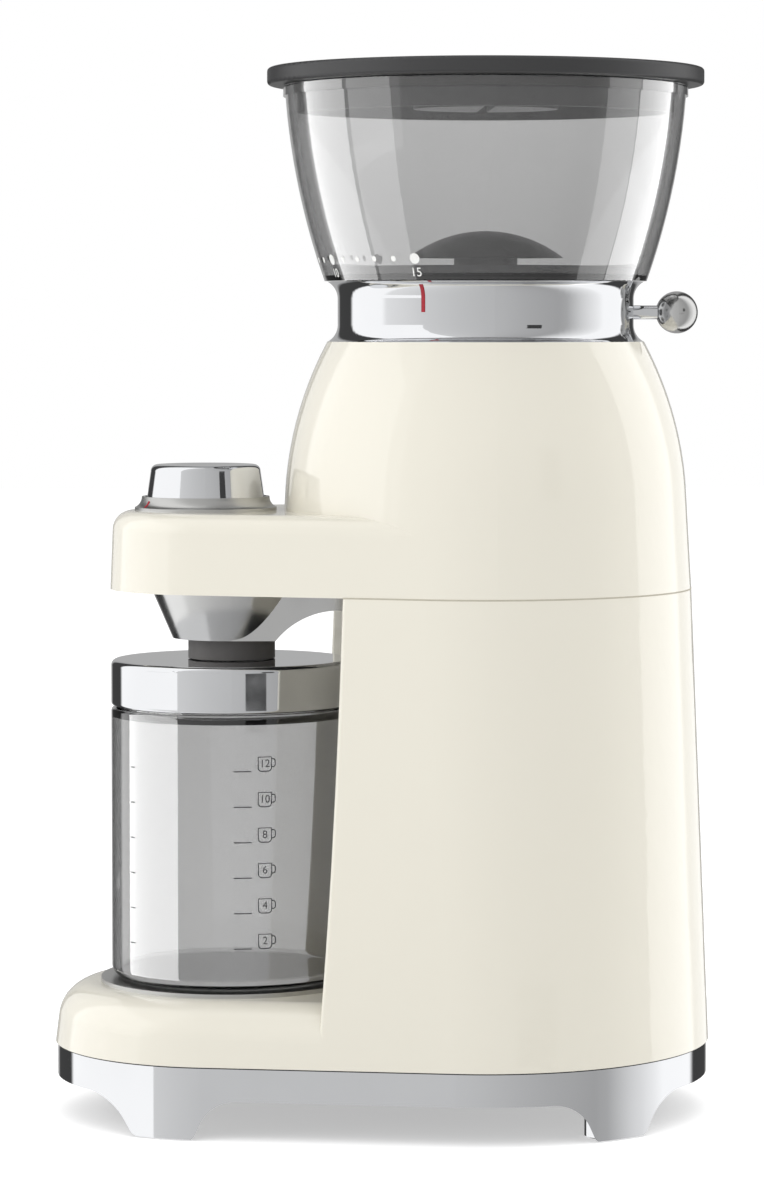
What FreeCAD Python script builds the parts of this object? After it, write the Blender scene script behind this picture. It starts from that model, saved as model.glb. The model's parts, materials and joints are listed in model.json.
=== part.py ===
import FreeCAD, Part
import math
import operator
import os
import types

import Sketcher

# Burr coffee grinder with a bean hopper on top and a jar under the spout.
# Lengths are millimetres, the floor is z = 0, the front is -Y and x = y = 0 is the middle of the box.

SIZES = (
    # layout
    ("reach", 98.6, "column axis to jar axis"),
    ("wall", 3.0, "wall of the painted shells"),
    ("gap", 0.3, "gap between pieces that move past each other"),
    ("fit", 0.05, "radial room of a shaft or a pressed piece in its bore"),
    # lower shell
    ("base_rear_r", 86.8, "rear radius of the base"),
    ("base_front_r", 68.4, "front radius of the base"),
    ("shell_bottom_z", 28.0, "lower edge of the painted shell"),
    ("platform_z", 51.0, "top of the platform under the jar"),
    ("platform_round", 14.5, "rounding of the platform's rim"),
    ("bay_bottom_r", 78.9, "radius of the jar bay at the platform"),
    ("bay_top_r", 75.0, "radius of the jar bay at the seam"),
    ("wing_round", 1.6, "rounding of the bay's side edges"),
    ("seam_z", 203.0, "seam between the lower and the upper shell"),
    # upper shell
    ("column_r", 79.9, "column radius at the seam"),
    ("arm_r", 46.8, "front radius of the arm"),
    ("arm_top_z", 233.3, "flat top of the arm"),
    ("arm_draft", 1.2, "how much smaller the arm's front radius is at its top"),
    ("arm_round", 7.5, "rounding of the arm's top edge"),
    ("arm_inset", 0.1, "how far the arm's rear lies inside the column"),
    ("flank_top_r", 77.8, "column radius where the shoulder begins"),
    ("flank_top_z", 240.0, "height where the shoulder begins"),
    ("shoulder_curve", 140.0, "radius of the shoulder's curve"),
    ("neck_r", 61.4, "top radius of the upper shell"),
    ("neck_z", 298.4, "top of the upper shell"),
    ("neck_hole_r", 50.0, "opening in the top of the upper shell"),
    # chrome base frame
    ("frame_inset", 0.8, "how far the frame lies inside the painted shell"),
    ("frame_wall", 3.0, "wall of the frame"),
    ("foot_z", 0.6, "underside of the frame's feet"),
    ("arch_h", 15.3, "underside of the frame between the feet"),
    ("arch_slope", 66.0, "steepest angle of an arch end, degrees"),
    ("arch_low_r", 3.0, "rounding at the foot end of an arch"),
    ("arch_high_r", 15.0, "rounding at the top end of an arch"),
    ("side_arch_front", 17.0, "front end of the side arch, ahead of the jar axis"),
    ("side_arch_rear", 39.0, "rear end of the side arch, behind the column axis"),
    ("front_arch_w", 117.0, "width of the front arch at the floor"),
    ("rear_arch_w", 134.0, "width of the rear arch at the floor"),
    ("foot_post_r", 8.0, "radius of the posts in the feet"),
    ("foot_post_in", 10.0, "how far a foot post's axis lies inside the frame"),
    ("front_foot_angle", 67.0, "angle of the front feet from straight ahead, degrees"),
    ("rear_foot_angle", 57.0, "angle of the rear feet from straight behind, degrees"),
    ("foot_pad_r", 6.5, "radius of a rubber foot pad"),
    ("base_plate_z", 22.0, "underside of the base plate"),
    ("base_plate_t", 3.0, "thickness of the base plate"),
    # jar and its seat
    ("seat_r", 50.8, "radius of the jar seat"),
    ("seat_t", 1.6, "thickness of the jar seat"),
    ("jar_r", 46.6, "outer radius of the jar"),
    ("jar_wall", 3.0, "wall of the jar"),
    ("jar_floor", 2.4, "floor of the jar"),
    ("jar_round", 4.5, "rounding at the foot of the jar"),
    ("jar_shoulder_z", 157.4, "shoulder of the jar, under the cap"),
    ("jar_shoulder_round", 1.6, "rounding of the jar's shoulder"),
    ("jar_neck_h", 12.5, "height of the jar's neck inside the cap"),
    ("jar_neck_in", 3.6, "how far the neck is set in from the jar's side"),
    ("cap_h", 17.7, "height of the jar cap"),
    ("cap_wall", 1.8, "wall of the jar cap"),
    ("cap_round", 2.2, "rounding of the jar cap's top edge"),
    ("cap_foot_round", 1.3, "rounding of the jar cap's lower edge"),
    ("cap_hole_r", 13.5, "hole in the middle of the jar cap"),
    ("cap_seal_h", 6.0, "height of the seal between cap and jar"),
    # spout and chute
    ("spout_r", 31.0, "top radius of the spout cone"),
    ("spout_tip_r", 22.8, "bottom radius of the spout cone"),
    ("spout_tip_z", 184.0, "bottom of the spout cone"),
    ("spout_bore_r", 12.0, "bore of the spout"),
    ("fairing_w", 46.0, "width of the fairing behind the spout"),
    ("fairing_back", 70.0, "rear end of the fairing, behind the jar axis"),
    ("fairing_front", 16.8, "where the fairing's arch starts, behind the jar axis"),
    ("fairing_knee", 41.0, "where the fairing's arch levels out, behind the jar axis"),
    ("fairing_z", 195.6, "underside of the fairing at the bay wall"),
    ("gasket_r", 16.8, "radius of the rubber ring under the spout"),
    ("cap_gap", 0.4, "gap between the rubber ring and the jar cap"),
    ("underplate_t", 3.0, "thickness of the plate under the arm"),
    ("chute_w", 25.0, "outer width of the chute"),
    ("chute_wall", 2.0, "wall of the chute"),
    ("chute_end", 13.5, "how far the chute reaches on either side of the jar axis"),
    ("chute_low_h", 15.0, "height of the chute over the spout"),
    ("chute_toe", 5.0, "height of the chute's rear wall over the spout"),
    ("window_h", 11.0, "height of the window from the burr chamber into the chute"),
    # collar, lock ring and lever
    ("collar_h", 23.1, "height of the chrome collar"),
    ("collar_r", 61.2, "radius of the collar at its ends"),
    ("collar_waist_r", 57.35, "radius of the collar's waist"),
    ("collar_flare_h", 6.5, "height of the flares above and below the waist"),
    ("collar_wall", 2.6, "wall of the collar at its waist"),
    ("collar_floor", 3.0, "floor of the collar"),
    ("lock_wall", 3.2, "wall of the lock ring"),
    ("lock_h", 13.4, "height of the lock ring"),
    ("lock_lip_t", 4.0, "thickness of the lock ring's lip"),
    ("lock_lip_in", 2.6, "how far the lip reaches in over the lugs"),
    ("lever_z", 309.7, "height of the lever"),
    ("lever_rod_r", 2.7, "radius of the lever's rod"),
    ("lever_reach", 74.4, "column axis to the middle of the ball"),
    ("lever_ball_r", 8.2, "radius of the ball"),
    ("lever_swing", 35.0, "swing of the lever, degrees"),
    ("slot_room", 4.0, "turn of the collar's slot past the lever's stops, degrees"),
    ("lug_w", 12.0, "width of a hopper lug"),
    ("lug_h", 4.0, "height of a hopper lug"),
    ("lug_room", 1.0, "room on each side of a lug in its notch"),
    # hopper, bean guard and lid
    ("hopper_r", 62.4, "outer radius at the bottom of the hopper"),
    ("hopper_top_r", 77.4, "outer radius under the hopper's rim"),
    ("hopper_h", 75.2, "height of the hopper"),
    ("hopper_wall", 3.0, "wall of the hopper"),
    ("hopper_curve", 280.0, "radius of the hopper wall's curve"),
    ("hopper_rim", 0.9, "how far the hopper's rim stands out"),
    ("hopper_rim_h", 4.0, "height of the hopper's rim"),
    ("hopper_hole_r", 54.0, "hole in the bottom of the hopper"),
    ("floor_t", 3.0, "thickness of the hopper's floor piece"),
    ("spigot_wall", 3.0, "wall of the hopper's spigot"),
    ("funnel_drop", 12.0, "depth of the funnel in the hopper floor"),
    ("throat_r", 30.0, "bean opening at the foot of the funnel"),
    ("guard_r", 30.2, "radius of the bean guard's dome"),
    ("guard_h", 10.4, "height of the bean guard's dome"),
    ("guard_lift", 2.8, "hopper floor to the dome's rim"),
    ("guard_stem_r", 12.3, "radius of the guard's stem"),
    ("guard_ring_w", 2.4, "width of the guard's seat ring"),
    ("guard_lip_t", 1.2, "height of the guard's lip over the funnel"),
    ("guard_rib_t", 3.0, "thickness of the guard's ribs"),
    ("lid_r", 84.5, "radius of the lid"),
    ("lid_t", 6.6, "thickness of the lid"),
    ("lid_round", 1.4, "rounding of the lid's edges"),
    ("plug_h", 11.1, "depth of the lid's plug"),
    ("plug_w", 3.0, "wall of the lid's plug"),
    ("plug_gap", 1.6, "gap between plug and hopper, filled by the seal"),
    ("seal_h", 3.0, "height of the lid's seal"),
    ("well_r", 28.0, "outer radius of the lid's finger wells"),
    ("well_split", 4.0, "gap between the two finger wells"),
    ("well_wall", 2.2, "wall of the finger wells"),
    ("well_depth", 9.6, "depth of the finger wells under the lid's plate"),
    # adjuster and burrs
    ("adjuster_t", 7.2, "thickness of the adjuster ring"),
    ("adjuster_bore_r", 33.0, "bore of the adjuster ring"),
    ("dog_w", 10.0, "width of the dogs that turn the adjuster"),
    ("dog_h", 4.5, "height of the dogs"),
    ("dog_room", 0.4, "room on each side of a dog"),
    ("key_w", 8.0, "width of the adjuster's keys"),
    ("key_r", 35.0, "inner radius of the keys"),
    ("key_t", 5.0, "thickness of the keys"),
    ("key_h", 15.0, "depth of a key in the carrier"),
    ("key_room", 1.4, "room under a key in the carrier"),
    ("chamber_r", 46.3, "outer radius of the burr chamber"),
    ("chamber_wall", 3.0, "wall of the burr chamber"),
    ("chamber_flange_r", 57.0, "radius of the burr chamber's flange"),
    ("chamber_flange_t", 3.0, "thickness of the flange"),
    ("carrier_drop", 6.0, "top of the burr chamber to the top of the carrier"),
    ("carrier_thread_h", 18.0, "height of the carrier's thread"),
    ("carrier_sleeve_t", 3.8, "wall of the carrier round the ring burr"),
    ("carrier_lip_t", 2.2, "lip of the carrier over the ring burr"),
    ("carrier_web_h", 6.0, "slope of the carrier between its sleeve and its thread"),
    ("ring_burr_r", 24.5, "outer radius of the ring burr"),
    ("ring_burr_h", 18.0, "height of the ring burr"),
    ("ring_burr_mouth_r", 17.5, "top inner radius of the ring burr"),
    ("burr_gap", 0.9, "gap between the burrs at the bottom, at rest"),
    ("cone_r", 19.0, "bottom radius of the cone burr"),
    ("cone_top_r", 9.0, "top radius of the cone burr"),
    ("cone_h", 26.0, "height of the cone burr"),
    ("cone_lead", 2.0, "bottom of the cone burr to the bottom of the ring burr"),
    ("flute_depth", 3.0, "depth of the burr flutes at the top"),
    ("tooth_depth", 0.8, "depth of the burr flutes at the bottom"),
    ("flute_twist", 30.0, "turn of a flute from bottom to top, degrees"),
    ("flute_count", 8, "flutes on each burr"),
    ("sweeper_hub_r", 9.0, "radius of the sweeper's hub"),
    ("sweeper_gap", 2.3, "gap round the sweeper"),
    ("sweeper_h", 9.0, "height of the sweeper's hub"),
    ("blade_h", 6.0, "height of the sweeper's blades"),
    ("blade_t", 3.0, "thickness of the sweeper's blades"),
    ("blade_count", 4, "blades on the sweeper"),
    # drive
    ("chassis_t", 4.0, "thickness of the chassis plate"),
    ("chassis_lift", 0.4, "gap between the arm's plate and the chassis plate"),
    ("chassis_room", 1.3, "gap between the chassis plate and the upper shell"),
    ("chassis_front_r", 50.0, "radius of the chassis plate's cut-out for the chute"),
    ("case_h", 26.0, "height of the gear case"),
    ("case_top", 3.5, "top of the gear case"),
    ("case_wall", 2.5, "wall of the gear case"),
    ("case_room", 1.0, "room round the gears"),
    ("gear_module", 1.0, "module of the gears"),
    ("gear_addendum", 0.9, "tip height of a tooth, in modules"),
    ("gear_root", 0.25, "room at the foot of a tooth, in modules"),
    ("output_teeth", 52, "teeth of the output gear"),
    ("idler_pinion_teeth", 14, "teeth of the idler's pinion"),
    ("idler_teeth", 52, "teeth of the idler's wheel"),
    ("motor_teeth", 12, "teeth of the motor pinion"),
    ("pressure_angle", 25.0, "pressure angle of the gears, degrees"),
    ("gear_backlash", 0.2, "room between the teeth, along the pitch circle"),
    ("idler_z", 2.6, "chassis plate to the idler wheel"),
    ("idler_w", 6.5, "width of the idler wheel"),
    ("output_w", 8.0, "width of the output gear"),
    ("gear_step", 1.8, "idler wheel to the output gear"),
    ("output_hub_r", 8.0, "radius of the output gear's hub"),
    ("output_hub_h", 3.2, "height of the output gear's hub"),
    ("shaft_r", 4.0, "radius of the burr shaft"),
    ("shaft_stub", 8.0, "burr shaft under the chassis plate's top"),
    ("thread_r", 3.0, "radius of the burr shaft's threaded end"),
    ("nut_h", 5.0, "height of the burr nut"),
    ("nut_af", 11.0, "burr nut across its flats"),
    ("bush_r", 8.0, "outer radius of the shaft bushes"),
    ("thread_over", 1.5, "threaded end above the nut"),
    ("seal_r", 9.0, "outer radius of the shaft seal"),
    ("idler_pin_r", 2.5, "radius of the idler pin"),
    ("motor_back", 35.0, "column axis to motor axis"),
    ("motor_r", 28.0, "radius of the motor can"),
    ("motor_h", 66.0, "height of the motor can"),
    ("motor_wall", 2.0, "wall of the motor can"),
    ("motor_cap_h", 5.0, "height of the motor's end cap"),
    ("motor_shaft_r", 2.0, "radius of the motor shaft"),
    ("rotor_r", 20.0, "radius of the motor's rotor"),
    ("rotor_h", 40.0, "height of the motor's rotor"),
    ("commutator_r", 7.0, "radius of the commutator"),
    ("commutator_h", 9.0, "height of the commutator"),
    ("rotor_lift", 4.0, "room under the commutator and under the rotor"),
    ("magnet_gap", 0.8, "gap between rotor and magnets"),
    ("magnet_split", 6.0, "gap between the two magnets"),
    ("terminal_w", 6.0, "width of a motor terminal"),
    ("terminal_h", 8.0, "height of a motor terminal"),
    ("terminal_t", 0.8, "thickness of a motor terminal"),
    ("post_r", 4.5, "radius of the chassis posts"),
    ("post_front_x", 52.0, "front chassis posts from the middle"),
    ("post_front_y", -10.0, "front chassis posts behind the column axis"),
    ("post_rear_x", 45.0, "rear chassis posts from the middle"),
    ("post_rear_y", 52.0, "rear chassis posts behind the column axis"),
    # knob
    ("knob_reach", 108.5, "column axis to knob axis"),
    ("knob_r", 22.8, "bottom radius of the knob"),
    ("knob_top_r", 21.2, "top radius of the knob"),
    ("knob_h", 13.6, "height of the knob"),
    ("knob_round", 2.6, "rounding of the knob's top edge"),
    ("knob_rim", 3.0, "width of the flat rim round the dish in the knob's top"),
    ("knob_dish", 0.8, "depth of the dish in the knob's top"),
    ("knob_wall", 2.2, "wall of the knob"),
    ("knob_travel", 1.5, "travel of the knob when it is pressed"),
    ("knob_room", 1.0, "room under the pressed knob"),
    ("bezel_r", 27.4, "radius of the knob's bezel"),
    ("bezel_h", 5.4, "height of the bezel"),
    ("bezel_floor", 1.6, "floor of the bezel"),
    ("bezel_lip", 1.3, "lip at the top of the bezel"),
    ("bezel_edge", 1.2, "height of the bezel's outer edge"),
    ("bezel_curve", 4.4, "radius of the bezel's hollow"),
    ("encoder_w", 13.0, "side of the encoder's body"),
    ("encoder_h", 6.5, "height of the encoder's body"),
    ("encoder_bush_r", 4.6, "radius of the encoder's bush"),
    ("encoder_bush_h", 5.4, "height of the encoder's bush"),
    ("encoder_floor", 1.0, "floor of the encoder"),
    ("encoder_shaft_r", 2.5, "radius of the encoder's shaft"),
    ("encoder_rotor_t", 0.9, "wall of the encoder's rotor"),
    # board, gland and screws
    ("board_x", 70.0, "width of the control board"),
    ("board_y", 46.0, "depth of the control board"),
    ("board_t", 1.6, "thickness of the control board"),
    ("board_lift", 6.0, "height of the control board's legs"),
    ("board_leg", 5.0, "side of a control board leg"),
    ("supply_x", 30.0, "width of the power supply on the board"),
    ("supply_y", 22.0, "depth of the power supply"),
    ("supply_h", 11.0, "height of the power supply"),
    ("capacitor_r", 5.0, "radius of the capacitors"),
    ("capacitor_h", 10.0, "height of the capacitors"),
    ("gland_back", 62.0, "column axis to the cord gland"),
    ("gland_r", 8.0, "radius of the gland's flange"),
    ("gland_body_r", 5.6, "radius of the gland's body"),
    ("gland_bore_r", 3.4, "bore of the gland"),
    ("gland_flange_t", 3.0, "thickness of the gland's flange"),
    ("gland_inside", 8.0, "length of the gland above the base plate"),
    ("screw_r", 1.25, "radius of a screw's shank"),
    ("screw_head_r", 2.2, "radius of a screw's head"),
    ("screw_head_h", 2.0, "height of a screw's head"),
    ("screw_length", 10.0, "length of a screw's shank"),
    ("collar_screw_r", 52.35, "column axis to the collar screws"),
    ("motor_screw_r", 17.0, "motor axis to the motor screws"),
)

doc = FreeCAD.newDocument("grinder")
sheet = doc.addObject("Spreadsheet::Sheet", "dims")
for row, (alias, number, meaning) in enumerate(SIZES, start=1):
    sheet.set(f"A{row}", meaning)
    sheet.set(f"B{row}", str(number))
    sheet.setAlias(f"B{row}", alias)
doc.recompute()

OPERATIONS = {"+": operator.add, "-": operator.sub, "*": operator.mul, "/": operator.truediv}


class Dim:
    """A size together with the sheet formula that gives it."""

    def __init__(self, value, formula):
        self.value = value
        self.formula = formula

    def __add__(self, other):
        return combine(self, "+", other)

    def __radd__(self, other):
        return combine(other, "+", self)

    def __sub__(self, other):
        return combine(self, "-", other)

    def __rsub__(self, other):
        return combine(other, "-", self)

    def __mul__(self, other):
        return combine(self, "*", other)

    def __rmul__(self, other):
        return combine(other, "*", self)

    def __truediv__(self, other):
        return combine(self, "/", other)

    def __neg__(self):
        return combine(0, "-", self)


def as_dim(size):
    return size if isinstance(size, Dim) else Dim(size, f"({size})")


def combine(first, sign, second):
    first = as_dim(first)
    second = as_dim(second)
    value = OPERATIONS[sign](first.value, second.value)
    return Dim(value, f"({first.formula} {sign} {second.formula})")


def root(size):
    return Dim(math.sqrt(size.value), f"sqrt({size.formula})")


def sine(degrees):
    degrees = as_dim(degrees)
    return Dim(math.sin(math.radians(degrees.value)), f"sin({degrees.formula})")


def cosine(degrees):
    degrees = as_dim(degrees)
    return Dim(math.cos(math.radians(degrees.value)), f"cos({degrees.formula})")


def tangent_curve(run, rise):
    """Radius of an arc that covers a run and a rise and starts along the run."""
    return (run * run + rise * rise) / (2 * rise)


S = types.SimpleNamespace(**{alias: Dim(number, f"dims.{alias}") for alias, number, meaning in SIZES})

# Places that follow from the sizes.
AXIS_Y = (S.reach + S.base_front_r - S.base_rear_r) / 2
JAR_Y = AXIS_Y - S.reach
KNOB_Y = AXIS_Y - S.knob_reach
MOTOR_Y = AXIS_Y + S.motor_back
SEAT_TOP = S.platform_z + S.seat_t
JAR_Z = SEAT_TOP + S.gap
CAP_Z = S.jar_shoulder_z + 2 * S.gap
CAP_TOP = CAP_Z + S.cap_h
UNDERPLATE_TOP = S.seam_z + S.underplate_t
CHASSIS_Z = UNDERPLATE_TOP + S.chassis_lift
CHASSIS_TOP = CHASSIS_Z + S.chassis_t
CASE_TOP = CHASSIS_TOP + S.case_h
CHAMBER_FLOOR = CASE_TOP + S.chamber_wall
CHAMBER_TOP = S.neck_z - S.wall + 2 * S.gap
CHAMBER_BORE = S.chamber_r - S.chamber_wall
COLLAR_TOP = S.neck_z + S.collar_h
COLLAR_FLOOR = S.neck_z + S.collar_floor
COLLAR_FLARE = tangent_curve(S.collar_flare_h, S.collar_r - S.collar_waist_r)
COLLAR_BORE = S.collar_waist_r - S.collar_wall
LOCK_R = COLLAR_BORE - S.gap
LOCK_BORE = LOCK_R - S.lock_wall
LOCK_LIP_BORE = LOCK_BORE - S.lock_lip_in
LOCK_Z = COLLAR_FLOOR + S.gap
LOCK_LIP_Z = LOCK_Z + S.lock_h - S.lock_lip_t
SPIGOT_R = LOCK_LIP_BORE - S.gap
SPIGOT_BORE = SPIGOT_R - S.spigot_wall
LUG_R = LOCK_BORE - S.gap
HOPPER_Z = COLLAR_TOP + S.gap
HOPPER_TOP = HOPPER_Z + S.hopper_h
FLOOR_Z = HOPPER_Z + S.hopper_wall
FLOOR_TOP = FLOOR_Z + S.floor_t
LID_Z = HOPPER_TOP + S.gap
LID_TOP = LID_Z + S.lid_t
ADJUSTER_Z = CHAMBER_TOP + S.gap
ADJUSTER_TOP = ADJUSTER_Z + S.adjuster_t
ADJUSTER_R = S.neck_hole_r - S.gap
SPIGOT_Z = ADJUSTER_TOP + S.gap
CARRIER_TOP = CHAMBER_TOP - S.carrier_drop
CARRIER_R = CHAMBER_BORE - S.gap
SWEEPER_Z = CHAMBER_FLOOR + 2 * S.gap
CONE_Z = SWEEPER_Z + S.sweeper_h
CONE_TOP = CONE_Z + S.cone_h
RING_Z = CONE_Z + S.cone_lead
RING_TOP = RING_Z + S.ring_burr_h
RING_FOOT_R = S.cone_r - (S.cone_r - S.cone_top_r) * S.cone_lead / S.cone_h + S.burr_gap
SLEEVE_BORE = S.ring_burr_r + S.fit
SLEEVE_R = SLEEVE_BORE + S.carrier_sleeve_t
OUTPUT_PITCH = S.gear_module * (S.output_teeth + S.idler_pinion_teeth) / 2
INPUT_PITCH = S.gear_module * (S.idler_teeth + S.motor_teeth) / 2
IDLER_BACK = (OUTPUT_PITCH * OUTPUT_PITCH - INPUT_PITCH * INPUT_PITCH + S.motor_back * S.motor_back) / (
    2 * S.motor_back
)
IDLER_X = root(OUTPUT_PITCH * OUTPUT_PITCH - IDLER_BACK * IDLER_BACK)
IDLER_Y = AXIS_Y + IDLER_BACK
IDLER_Z = CHASSIS_TOP + S.idler_z
IDLER_TOP = IDLER_Z + S.idler_w
OUTPUT_Z = IDLER_TOP + S.gear_step
OUTPUT_TOP = OUTPUT_Z + S.output_w
MOTOR_Z = CHASSIS_Z - S.motor_h
KNOB_Z = S.arm_top_z + S.bezel_floor + S.knob_travel + S.knob_room
KNOB_TOP = KNOB_Z + S.knob_h
ENCODER_TOP = S.arm_top_z - S.wall - S.gap
ENCODER_Z = ENCODER_TOP - S.encoder_h
BUSH_TOP = ENCODER_TOP + S.encoder_bush_h
ROTOR_R = S.encoder_shaft_r + S.fit + S.encoder_rotor_t
BASE_PLATE_TOP = S.base_plate_z + S.base_plate_t
CHASSIS_R = S.column_r - S.wall - S.chassis_room
OUTPUT_TIP = S.gear_module * (S.output_teeth / 2 + S.gear_addendum)
IDLER_TIP = S.gear_module * (S.idler_teeth / 2 + S.gear_addendum)
MOTOR_TIP = S.gear_module * (S.motor_teeth / 2 + S.gear_addendum)
PIN_TOP = CASE_TOP - S.case_top / 2
COMMUTATOR_Z = MOTOR_Z + S.rotor_lift
ROTOR_Z = COMMUTATOR_Z + S.commutator_h + S.rotor_lift
PLUG_R = S.hopper_top_r - S.hopper_wall - S.plug_gap
GUARD_Z = FLOOR_TOP + S.guard_lift
THROAT_Z = FLOOR_Z - S.funnel_drop
THROAT_TOP = FLOOR_TOP - S.funnel_drop
FUNNEL_SLOPE = S.funnel_drop / (SPIGOT_BORE - S.throat_r)
WINDOW_W = S.chute_w - 2 * S.chute_wall
LUG_FACE = root(LUG_R * LUG_R - S.lug_w * S.lug_w / 4)
LUG_TOP = LOCK_LIP_Z - S.gap
ROD_START = LOCK_BORE + S.lock_wall / 4
ROD_END = S.lever_reach - S.lever_ball_r / 2
ENCODER_FLOOR = ENCODER_Z + S.encoder_floor

# Directions round the column axis, in degrees, of the hopper's lugs and the adjuster's dogs and keys.
LUG_ANGLES = (30, 150, 270)
DOG_ANGLES = (90, 210, 330)
KEY_ANGLES = (0, 180)

NODES = []


def node(item, label):
    """Keep a finished sub-part under its node name."""
    item.Label = label
    NODES.append(item)
    return item


def bind(item, prop, size):
    item.setExpression(prop, as_dim(size).formula)


def place(item, x=0, y=0, z=0):
    for axis, size in (("x", x), ("y", y), ("z", z)):
        bind(item, f"Placement.Base.{axis}", size)
    return item


def new_body(label, x=0, y=0):
    return place(doc.addObject("PartDesign::Body", label), x, y)


def sketch_on(body, role, height=0):
    sketch = body.newObject("Sketcher::SketchObject", f"{body.Name}_sketch")
    plane = next(item for item in body.Origin.OriginFeatures if item.Role == role)
    sketch.AttachmentSupport = [(plane, "")]
    sketch.MapMode = "FlatFace"
    bind(sketch, "AttachmentOffset.Base.z", height)
    return sketch


def constrain(sketch, limits):
    """Add (constraint kind, arguments, size) limits; a size of None means the constraint has no value."""
    for kind, arguments, size in limits:
        if size is None:
            sketch.addConstraint(Sketcher.Constraint(kind, *arguments))
        else:
            index = sketch.addConstraint(Sketcher.Constraint(kind, *arguments, size.value))
            sketch.setExpression(f"Constraints[{index}]", size.formula)


def fix_point(kind, edge, end, size):
    """The limit that holds one coordinate of an edge's end."""
    size = as_dim(size)
    if abs(size.value) < 1e-9:
        return "PointOnObject", (edge, end, -2 if kind == "DistanceX" else -1), None
    if size.value < 0:
        return kind, (edge, end, -1, 1), -size
    return kind, (-1, 1, edge, end), size


def arc_between(start, finish, radius, side):
    """The shorter arc; its centre is left of the way from start to finish for side 1, right for -1."""
    way = finish - start
    middle = (start + finish) / 2
    offset = math.sqrt(radius * radius - (way.Length / 2) ** 2)
    left = FreeCAD.Vector(-way.y, way.x, 0).normalize()
    centre = middle + left * (offset * side)
    first, last = (start, finish) if side > 0 else (finish, start)
    begin = math.atan2(first.y - centre.y, first.x - centre.x)
    end = math.atan2(last.y - centre.y, last.x - centre.x)
    return Part.ArcOfCircle(Part.Circle(centre, FreeCAD.Vector(0, 0, 1), radius), begin, end)


def draw(sketch, corners):
    """Closed outline of (x, y) corners; (x, y, radius, side) leads on to the next corner by an arc."""
    points = [FreeCAD.Vector(as_dim(corner[0]).value, as_dim(corner[1]).value, 0) for corner in corners]
    starts = []
    ends = []
    limits = []
    for index, corner in enumerate(corners):
        here = points[index]
        there = points[(index + 1) % len(points)]
        if len(corner) == 2:
            edge = sketch.addGeometry(Part.LineSegment(here, there))
            forward = True
        else:
            radius, side = corner[2:]
            edge = sketch.addGeometry(arc_between(here, there, as_dim(radius).value, side))
            limits.append(("Radius", (edge,), as_dim(radius)))
            forward = side > 0
        starts.append((edge, 1 if forward else 2))
        ends.append((edge, 2 if forward else 1))
    for index, corner in enumerate(corners):
        limits.append(("Coincident", ends[index - 1] + starts[index], None))
        limits.append(fix_point("DistanceX", *starts[index], corner[0]))
        limits.append(fix_point("DistanceY", *starts[index], corner[1]))
    constrain(sketch, limits)
    return sketch


def draw_circle(sketch, radius, x=0, y=0):
    centre = FreeCAD.Vector(as_dim(x).value, as_dim(y).value, 0)
    circle = Part.Circle(centre, FreeCAD.Vector(0, 0, 1), as_dim(radius).value)
    edge = sketch.addGeometry(circle)
    limits = [
        ("Radius", (edge,), as_dim(radius)),
        fix_point("DistanceX", edge, 3, x),
        fix_point("DistanceY", edge, 3, y),
    ]
    constrain(sketch, limits)
    return sketch


def draw_hull(sketch, rear_r, front_r):
    """Outline round two circles, one on the column axis and one on the jar axis, joined by tangents."""
    rear = rear_r.value
    front = front_r.value
    reach = S.reach.value
    lean = math.asin((rear - front) / reach)
    up = FreeCAD.Vector(0, 0, 1)
    jar = FreeCAD.Vector(0, -reach, 0)
    right = FreeCAD.Vector(math.cos(lean), -math.sin(lean), 0)
    left = FreeCAD.Vector(-right.x, right.y, 0)
    rear_arc = Part.ArcOfCircle(Part.Circle(FreeCAD.Vector(), up, rear), -lean, math.pi + lean)
    front_arc = Part.ArcOfCircle(Part.Circle(jar, up, front), math.pi + lean, 2 * math.pi - lean)
    edges = [
        sketch.addGeometry(rear_arc),
        sketch.addGeometry(Part.LineSegment(left * rear, jar + left * front)),
        sketch.addGeometry(front_arc),
        sketch.addGeometry(Part.LineSegment(jar + right * front, right * rear)),
    ]
    limits = [("Tangent", (edges[index - 1], 2, edges[index], 1), None) for index in range(4)]
    limits.append(("Coincident", (edges[0], 3, -1, 1), None))
    limits.append(fix_point("DistanceX", edges[2], 3, 0))
    limits.append(fix_point("DistanceY", edges[2], 3, -S.reach))
    limits.append(("Radius", (edges[0],), rear_r))
    limits.append(("Radius", (edges[2],), front_r))
    constrain(sketch, limits)
    return sketch


def feature(body, kind, sketch):
    item = body.newObject(f"PartDesign::{kind}", f"{body.Name}_{kind.lower()}")
    item.Profile = sketch
    return item


def revolve(body, corners, kind="Revolution"):
    """Turn an outline of (radius, height) corners about the body's own Z axis."""
    sketch = draw(sketch_on(body, "XZ_Plane"), corners)
    item = feature(body, kind, sketch)
    item.ReferenceAxis = (sketch, ["V_Axis"])
    item.Angle = 360
    return item


def pad(body, sketch, height):
    item = feature(body, "Pad", sketch)
    bind(item, "Length", height)
    return item


def pocket(body, sketch, depth, reverse=False):
    """Cut against the sketch's normal, or along it if reverse is set."""
    item = feature(body, "Pocket", sketch)
    bind(item, "Length", depth)
    item.Reversed = reverse
    return item


def both_ways(item):
    item.SideType = "Symmetric"
    return item


def loft(body, low, high, kind="AdditiveLoft"):
    item = feature(body, kind, low)
    item.Sections = [high]
    item.Ruled = True
    return item


def polar(body, item, count):
    pattern = body.newObject("PartDesign::PolarPattern", f"{body.Name}_pattern")
    pattern.Originals = [item]
    pattern.Axis = (next(axis for axis in body.Origin.OriginFeatures if axis.Role == "Z_Axis"), [""])
    pattern.Angle = 360
    pattern.Occurrences = int(count.value)
    body.Tip = pattern
    return pattern


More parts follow.
